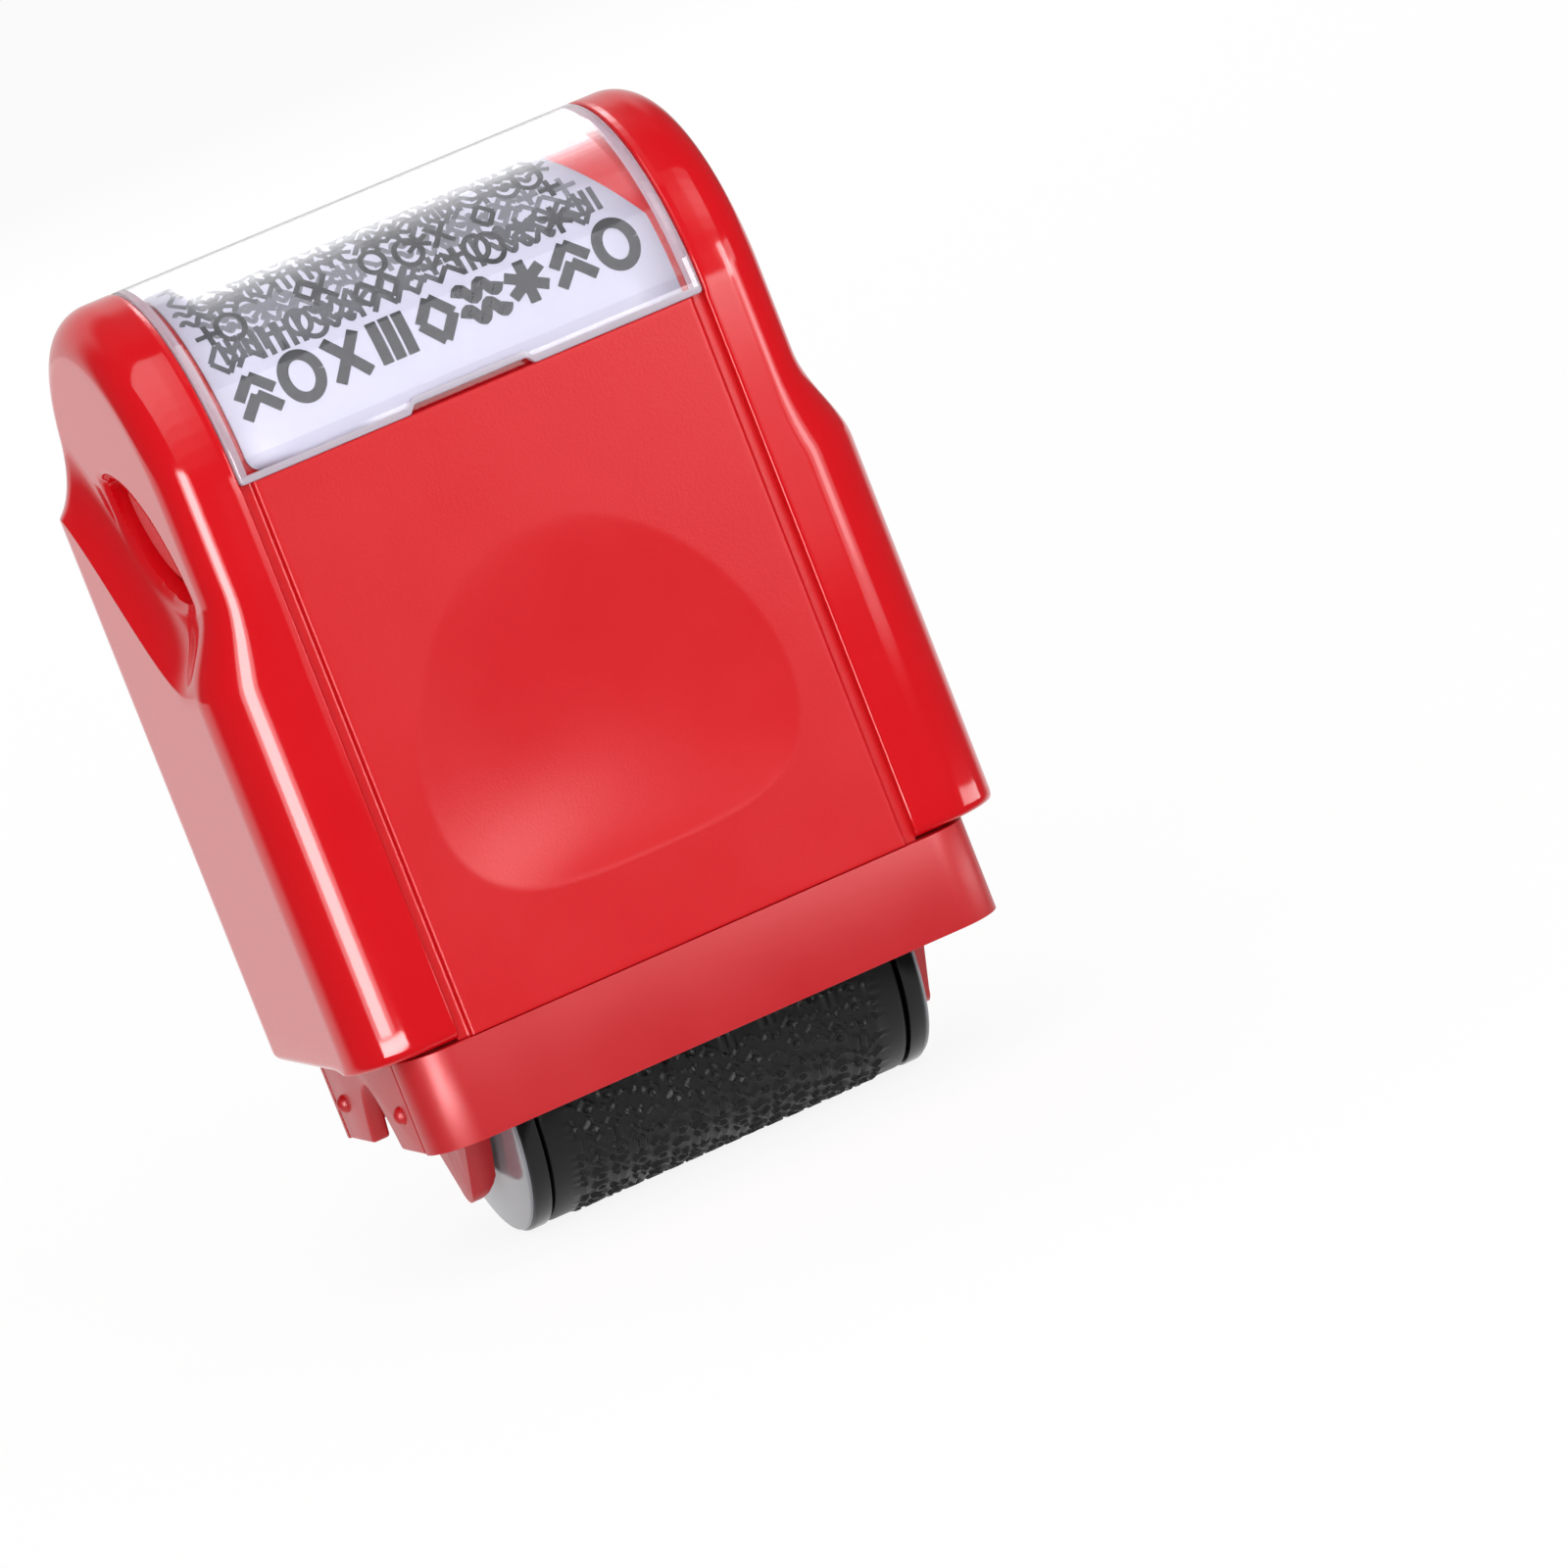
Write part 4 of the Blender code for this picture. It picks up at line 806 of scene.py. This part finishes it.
def ball(name, radius, centre):
    """A sphere: the cosine of the latitude round its axis, and the sine along it."""
    lat = np.linspace(-np.pi / 2, np.pi / 2, 15)[:, None]
    lon = np.linspace(0, TURN, 28, endpoint=False)[None, :]
    points = np.stack([np.cos(lat) * np.cos(lon), np.cos(lat) * np.sin(lon), np.sin(lat) + 0 * lon], -1)
    return shell(name, points * radius + np.array(centre))


def skirt_band(word, hand):
    """The front or rear band round the cartridge's foot, with its two rounded corners."""
    def half_loop(wall):
        corner = (SKIRT_HALF - SKIRT_ROUND, SKIRT_DEEP - SKIRT_ROUND)
        turn = arc(corner, SKIRT_ROUND - wall, 0, np.pi / 2, 21)
        right = np.concatenate([[[SKIRT_HALF - wall, SEAM + SEAM_GAP]], turn])
        return np.concatenate([right, (right * [-1, 1])[::-1]])

    loop = np.concatenate([half_loop(0.0), half_loop(SKIRT_WALL)[::-1]]) * [1, hand]
    made = bevelled(prism(word + "_band", loop, SKIRT_LOW, SKIRT_TOP, "Z"), 0.2)
    return dress(made, "satin_red_abs", "cartridge", "satin_red", word + "_skirt")


# Rollers

def sleeve():
    """The rubber sleeve: fine raised marks in the middle, between two smooth margins that stand a little
    above their ground and round over at the ends."""
    pitch, margin_tall = 0.17, 0.14
    around = int(TURN * ROLLER_R / pitch)
    x = np.arange(-RELIEF_HALF, RELIEF_HALF + pitch / 2, pitch)
    angle = np.arange(around) * TURN / around
    base = ROLLER_R - RELIEF_TALL
    margin = np.array([14.7, 15.5, 16.6, 16.8, 16.96, 17.06, ROLLER_HALF])
    drop = np.array([0.0, 0.0, 0.0, 0.03, 0.1, 0.2, 0.34])
    smooth = np.tile(base + margin_tall - drop, (around, 1))
    bore = np.full((around, 3), ROLLER_R - SLEEVE_WALL)
    place = np.concatenate([-margin[::-1], x, margin, [ROLLER_HALF, 0.0, -ROLLER_HALF]])
    marks = base + RELIEF_TALL * relief(x, angle * ROLLER_R)
    radius = np.concatenate([smooth[:, ::-1], marks, smooth, bore], 1)
    points = about_x(place, radius, angle[:, None], AXLE_Z)
    made = shell("rubber_sleeve_relief", points, wrap_rows=True, angle=80.0)
    return dress(made, "black_rubber", "print_roller", "black_rubber", "rubber_sleeve")


def relief(x, run):
    """Heights from 0 to 1 of small generic marks in staggered cells: crosses, rings, bars, chevrons, diamonds
    and waves, each the places within a short distance of a line."""
    count, wide, offset, kinds = 42, 1.95, 60, 6
    cell = TURN * ROLLER_R / count
    chance = np.random.default_rng(3)
    u, v = np.meshgrid(x, run)
    column = np.floor(u / wide + offset).astype(int)
    shift = (column % 2) * 0.5 + 0.13 * (column % 3)
    row = np.floor(v / cell + shift).astype(int) % count
    a = (u / wide + offset - column) * 2 - 1
    b = ((v / cell + shift) % 1.0) * 2 - 1
    kind = chance.integers(0, kinds, (200, count))[column % 200, row]
    lines = [np.minimum(np.abs(a - b * 0.8), np.abs(a + b * 0.8)), np.abs(np.hypot(a, b) - 0.55),
             np.abs(np.abs(a) - 0.42), np.abs(b - 0.7 * np.abs(a) + 0.3),
             np.abs(np.abs(a) + np.abs(b) - 0.7), np.abs(b - 0.42 * np.sin(a * 4.4))]
    cell_edge, line_half, slope = 0.86, 0.14, 0.16
    gap = np.where(np.maximum(np.abs(a), np.abs(b)) > cell_edge, 1.0, np.choose(kind, lines))
    return 1 - ease((gap - line_half) / slope)


def rollers():
    """The sleeve, and what is a profile turned about its axis: cores, flanges, bushes, discs and foam."""
    sleeve()
    rim = 12.9
    flange = np.array([[19.1, 12.5], [19.04, 12.72], [18.92, 12.84], [18.7, rim], [17.6, rim], [17.45, 12.86],
                       [17.4, 12.78], [17.4, 9.3], [15.4, 9.3], [15.4, 3.8], [19.1, 3.8]])
    face, bush = quarter_arcs(19.0, 19.35, 12.62, 4.0, 0.14), quarter_arcs(15.4, 19.15, 3.5, 2.3, 0.15)
    disc, foam = quarter_arcs(17.0, 18.0, 7.4, 5.0, 0.15), quarter_arcs(-16.7, 16.7, 8.0, 5.0, 0.4)
    core = quarter_arcs(-ROLLER_HALF, ROLLER_HALF, 11.4, 9.6, 0.2)
    ink_core = quarter_arcs(-18.3, 18.3, 4.7, 2.1, 0.2)
    black, acetal = "black_plastic", "white_acetal"
    # name, profile, steps, material, body, slot, node
    table = [("roller_core_tube", core, 160, "black_abs", "print_roller", black, "roller_core")]
    sides = [("_flange_disc", flange, 160, "gloss_black_abs", "print_roller", black, "_flange"),
             ("_flange_face", face, 160, "grey_abs", "print_roller", acetal, "_flange"),
             ("_bush_ring", bush, 64, acetal, "print_roller", acetal, "_bush"),
             ("_ink_disc_ring", disc, 96, acetal, "ink_roller", acetal, "_ink_disc")]
    for hand, word in ((-1, "left"), (1, "right")):
        table += [(word + name, profile * [hand, 1], *middle, word + node)
                  for name, profile, *middle, node in sides]
    table += [("ink_foam_tube", foam, 128, "inked_foam", "ink_roller", "inked_foam", "ink_foam"),
              ("ink_core_tube", ink_core, 64, acetal, "ink_roller", acetal, "ink_core")]
    for name, profile, steps, material, body, slot, node in table:
        centre_z = AXLE_Z if body == "print_roller" else INK_Z
        dress(turned(name, profile, centre_z, steps), material, body, slot, node)


# Materials

MATERIALS = {}
CLOUD = 9.0


def new_material(name):
    """A new material with nodes, kept under its name, and its node tree."""
    MATERIALS[name] = made = bpy.data.materials.new(name)
    made.use_nodes = True
    return made.node_tree


def moulded(name, colour, roughness, ior=1.52, mottle=0.03, grain=0.12, bump=0.02, depth=0.02, specular=0.5,
            **more):
    """A Principled shader whose colour and roughness vary a little in clouds.

    grain is the size of the surface's grain in millimetres and depth how tall it is; more sets other inputs.
    """
    tree = new_material(name)
    place = add(tree, "ShaderNodeTexCoord").outputs["Object"]
    cloud = add(tree, "ShaderNodeTexNoise", {"Vector": place, "Scale": 1 / (CLOUD * MM), "Detail": 3.0})
    fine = add(tree, "ShaderNodeTexNoise", {"Vector": place, "Scale": 1 / (grain * MM), "Detail": 2.0})
    base = linear(colour)
    darker = tuple(c * (1 - mottle * 2) for c in base[:3]) + (1.0,)
    tint = add(tree, "ShaderNodeMix", {0: cloud, 6: darker, 7: base}, data_type="RGBA")
    smooth, rough = roughness * 0.85, roughness * 1.15
    sheen = add(tree, "ShaderNodeMapRange", {0: cloud, 1: 0.2, 2: 0.8, 3: smooth, 4: rough})
    uneven = add(tree, "ShaderNodeBump", {"Strength": bump, "Distance": depth * MM, "Height": fine})
    fill(tree, tree.nodes["Principled BSDF"], {
        "Base Color": tint.outputs[2], "Roughness": sheen, "Normal": uneven, "IOR": ior,
        "Specular IOR Level": specular, **more})


def make_materials():
    # ABS from a polished mould: deep even red with sharp highlights and a trace of orange peel
    moulded("gloss_red_abs", "#E00D1A", 0.10, grain=2.2, bump=0.05, depth=0.05)
    # ABS from a spark-eroded mould: a fine even grain that breaks the light into a soft bloom
    moulded("grained_red_abs", "#DC161F", 0.31, grain=0.22, bump=0.35, depth=0.03, mottle=0.02, specular=0.3)
    # ABS from a lightly blasted mould: satin, with wide soft highlights
    moulded("satin_red_abs", "#D0151F", 0.36, grain=0.3, bump=0.12, depth=0.02)
    # ABS from a matt mould: flat bright red, as inside the finger hole
    moulded("matt_red_abs", "#EE1B22", 0.5, grain=0.25, bump=0.3, depth=0.02)
    # ABS with carbon black from a polished mould: near black, with weak but clear reflections
    moulded("gloss_black_abs", "#101113", 0.2, grain=1.6, bump=0.04, depth=0.03, specular=0.25)
    # The same from a plainer mould: charcoal with a dull sheen
    moulded("black_abs", "#222327", 0.35, grain=0.4, bump=0.1, depth=0.02)
    # Moulded nitrile rubber: near black, with a faint soft sheen
    moulded("black_rubber", "#131315", 0.42, grain=0.35, bump=0.25, depth=0.03, mottle=0.08, specular=0.22)
    # Grey ABS from a polished mould: the disc on each flange, mid grey and glossy
    moulded("grey_abs", "#9A9EA5", 0.12, grain=1.2, bump=0.04, depth=0.02)
    # Painted glow for clear polystyrene where it is cut or rounded: a milky, partly opaque colour stands in
    # for the light that gathers there, over the red behind it
    moulded("polystyrene_painted_edge_glow", "#CFC8D4", 0.2, grain=0.6, bump=0.05, depth=0.02, mottle=0.04, Alpha=0.7)
    # Natural acetal: milky white and slightly waxy
    moulded("white_acetal", "#E4E3DD", 0.34, grain=0.5, bump=0.05, depth=0.02)
    # Open foam soaked with black ink: pores of about 0.4 mm
    moulded("inked_foam", "#101013", 0.85, grain=0.4, bump=1.0, depth=0.25, mottle=0.2)
    # Coated label stock: cool white with a low even sheen
    moulded("label_paper", "#D6D4E4", 0.4, grain=0.3, bump=0.1, depth=0.01, mottle=0.01)
    # Printing ink on the label: a dark, a grey and a pale tone, each with a low sheen
    for tone, ink, mottle in (("dark", "#1B1B1F", 0.05), ("grey", "#4C4C52", 0.1), ("pale", "#7E7E86", 0.1)):
        moulded("label_ink_" + tone, ink, 0.45, grain=0.3, bump=0.05, mottle=mottle)
    # Ground steel rod: bright, with a fine even grain
    moulded("ground_steel", "#B9BABD", 0.24, ior=1.5, grain=0.15, bump=0.1, depth=0.01, Metallic=1.0)
    clear_plastic()
    floor_paper()


def clear_plastic():
    # Polished clear polystyrene: faintly grey, mirror-like at low angles; lamps reach what is behind it
    tree = new_material("clear_polystyrene")
    shader = tree.nodes["Principled BSDF"]
    fill(tree, shader, {"Base Color": linear("#E6E6EA"), "Roughness": 0.03, "IOR": 1.59,
                        "Transmission Weight": 1.0})
    shadow = add(tree, "ShaderNodeLightPath").outputs["Is Shadow Ray"]
    through = add(tree, "ShaderNodeBsdfTransparent", {0: linear("#FFFFFF")})
    mixed = add(tree, "ShaderNodeMixShader", {0: shadow, 1: shader, 2: through})
    fill(tree, tree.nodes["Material Output"], {"Surface": mixed})


def floor_paper():
    # White paper: matt, and partly glowing to the eye so that it stays white round the shadow. Gloss sees it
    # white behind the object and dark elsewhere, as it sees the studio: an S curve over y / distance from a
    # point a little in front of the object.
    tree = new_material("white_paper_floor")
    tree.nodes.clear()
    path = add(tree, "ShaderNodeLightPath").outputs
    place = add(tree, "ShaderNodeTexCoord").outputs["Object"]
    shifted = add(tree, "ShaderNodeVectorMath", {0: place, 1: (0.0, FLOOR_SHIFT * MM, 0.0)})
    spread = add(tree, "ShaderNodeVectorMath", {0: shifted}, operation="NORMALIZE")
    behind = add(tree, "ShaderNodeSeparateXYZ", {0: spread}).outputs["Y"]
    start, stop = FLOOR_RAMP
    mirrored = add(tree, "ShaderNodeMapRange", {0: behind, 1: start, 2: stop, 3: DIM_ROOM, 4: 1.0},
                   interpolation_type="SMOOTHSTEP")
    share = add(tree, "ShaderNodeMath", {0: seen_by_eye(tree, path), 1: GLOW_SHARE}, operation="MULTIPLY")
    matt = add(tree, "ShaderNodeBsdfDiffuse", {0: linear("#F4F4F4")})
    glow = add(tree, "ShaderNodeEmission", {0: linear("#FFFFFF"), 1: FLOOR_GLOW})
    gloss = add(tree, "ShaderNodeEmission", {0: linear("#FFFFFF"), 1: mirrored})
    paper = add(tree, "ShaderNodeMixShader", {0: share, 1: matt, 2: glow})
    mixed = add(tree, "ShaderNodeMixShader", {0: path["Is Glossy Ray"], 1: paper, 2: gloss})
    add(tree, "ShaderNodeOutputMaterial", {0: mixed})


# The scene

bpy.context.scene.view_settings.view_transform = "Standard"
make_materials()
place_camera()
light_world()
floor()
# Even light for matt surfaces: name, azimuth, distance, low, high, width, brightness
for row in (("front_fill", 8, 1050, 150, 1150, 1200, 2.1), ("top_fill", 20, 190, 800, 1100, 800, 0.7),
            ("rear_fill", 180, 1050, 150, 1150, 1200, 0.9)):
    softbox(*row, "matt")
# Highlights: down the front corners, on the skirt's ends, on the panel, on the right cheek and in the dent
for row in (("left_strip", 45, 165, -25, 100, 78, 4.0), ("left_strip_core", 45, 172, -25, 104, 46, 11.0),
            ("left_foot", 42, 100, -8, 10, 60, 16.0), ("right_foot", -72, 95, 0, 12, 50, 5.0),
            ("right_strip", -38, 210, 14, 84, 70, 2.0), ("right_strip_core", -38, 217, 22, 76, 30, 5.0),
            ("cheek_low_box", -18, 400, -2, 30, 84, 0.9), ("cheek_high_box", -18, 400, 30, 70, 84, 4.0),
            ("right_head_box", -42, 300, 75, 130, 130, 2.6), ("dent_box", -28, 300, 48, 140, 60, 10.0)):
    softbox(*row, "gloss")
# Sheets that only the rounded head mirrors: name, low x, high x, radius, start, stop, levels
bent_sheet("left_cheek", -141, 9, 150, 12, 80, (0.2, 0.5, 0.9, 1.4, 1.8, 2.1, 2.2, 2.2))
bent_sheet("right_cheek", 62, 120, 150, 15, 63, (0.4, 1.0, 1.7, 1.9, 1.5, 0.8))
bent_sheet("window", 3, 46, 100, 54, 146, (0.3, 0.3, 0.3, 0.4, 0.6, 1.0, 2.2, 4.5, 5.5, 3.0, 0.9, 0.2))

casing()
grip_panel("front", -1)
grip_panel("rear", 1)
window()
label()
label_print()
for hand, word in ((-1, "left"), (1, "right")):
    release_latch(word, hand)
    side_frame(word, hand)
skirt_band("front", -1)
skirt_band("rear", 1)
rollers()

# CAD pieces that keep their own mesh
plain = {"cartridge_hood": "black_abs", "print_axle": "ground_steel", "ink_axle": "ground_steel"}
for word in ("left", "right"):
    for ending in ("_latch_pin", "_print_axle_clip", "_ink_axle_clip"):
        plain[word + ending] = "ground_steel"
for node, finish in plain.items():
    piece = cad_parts[node]
    piece.data.materials.clear()
    piece.data.materials.append(MATERIALS[finish])

bpy.context.view_layer.update()
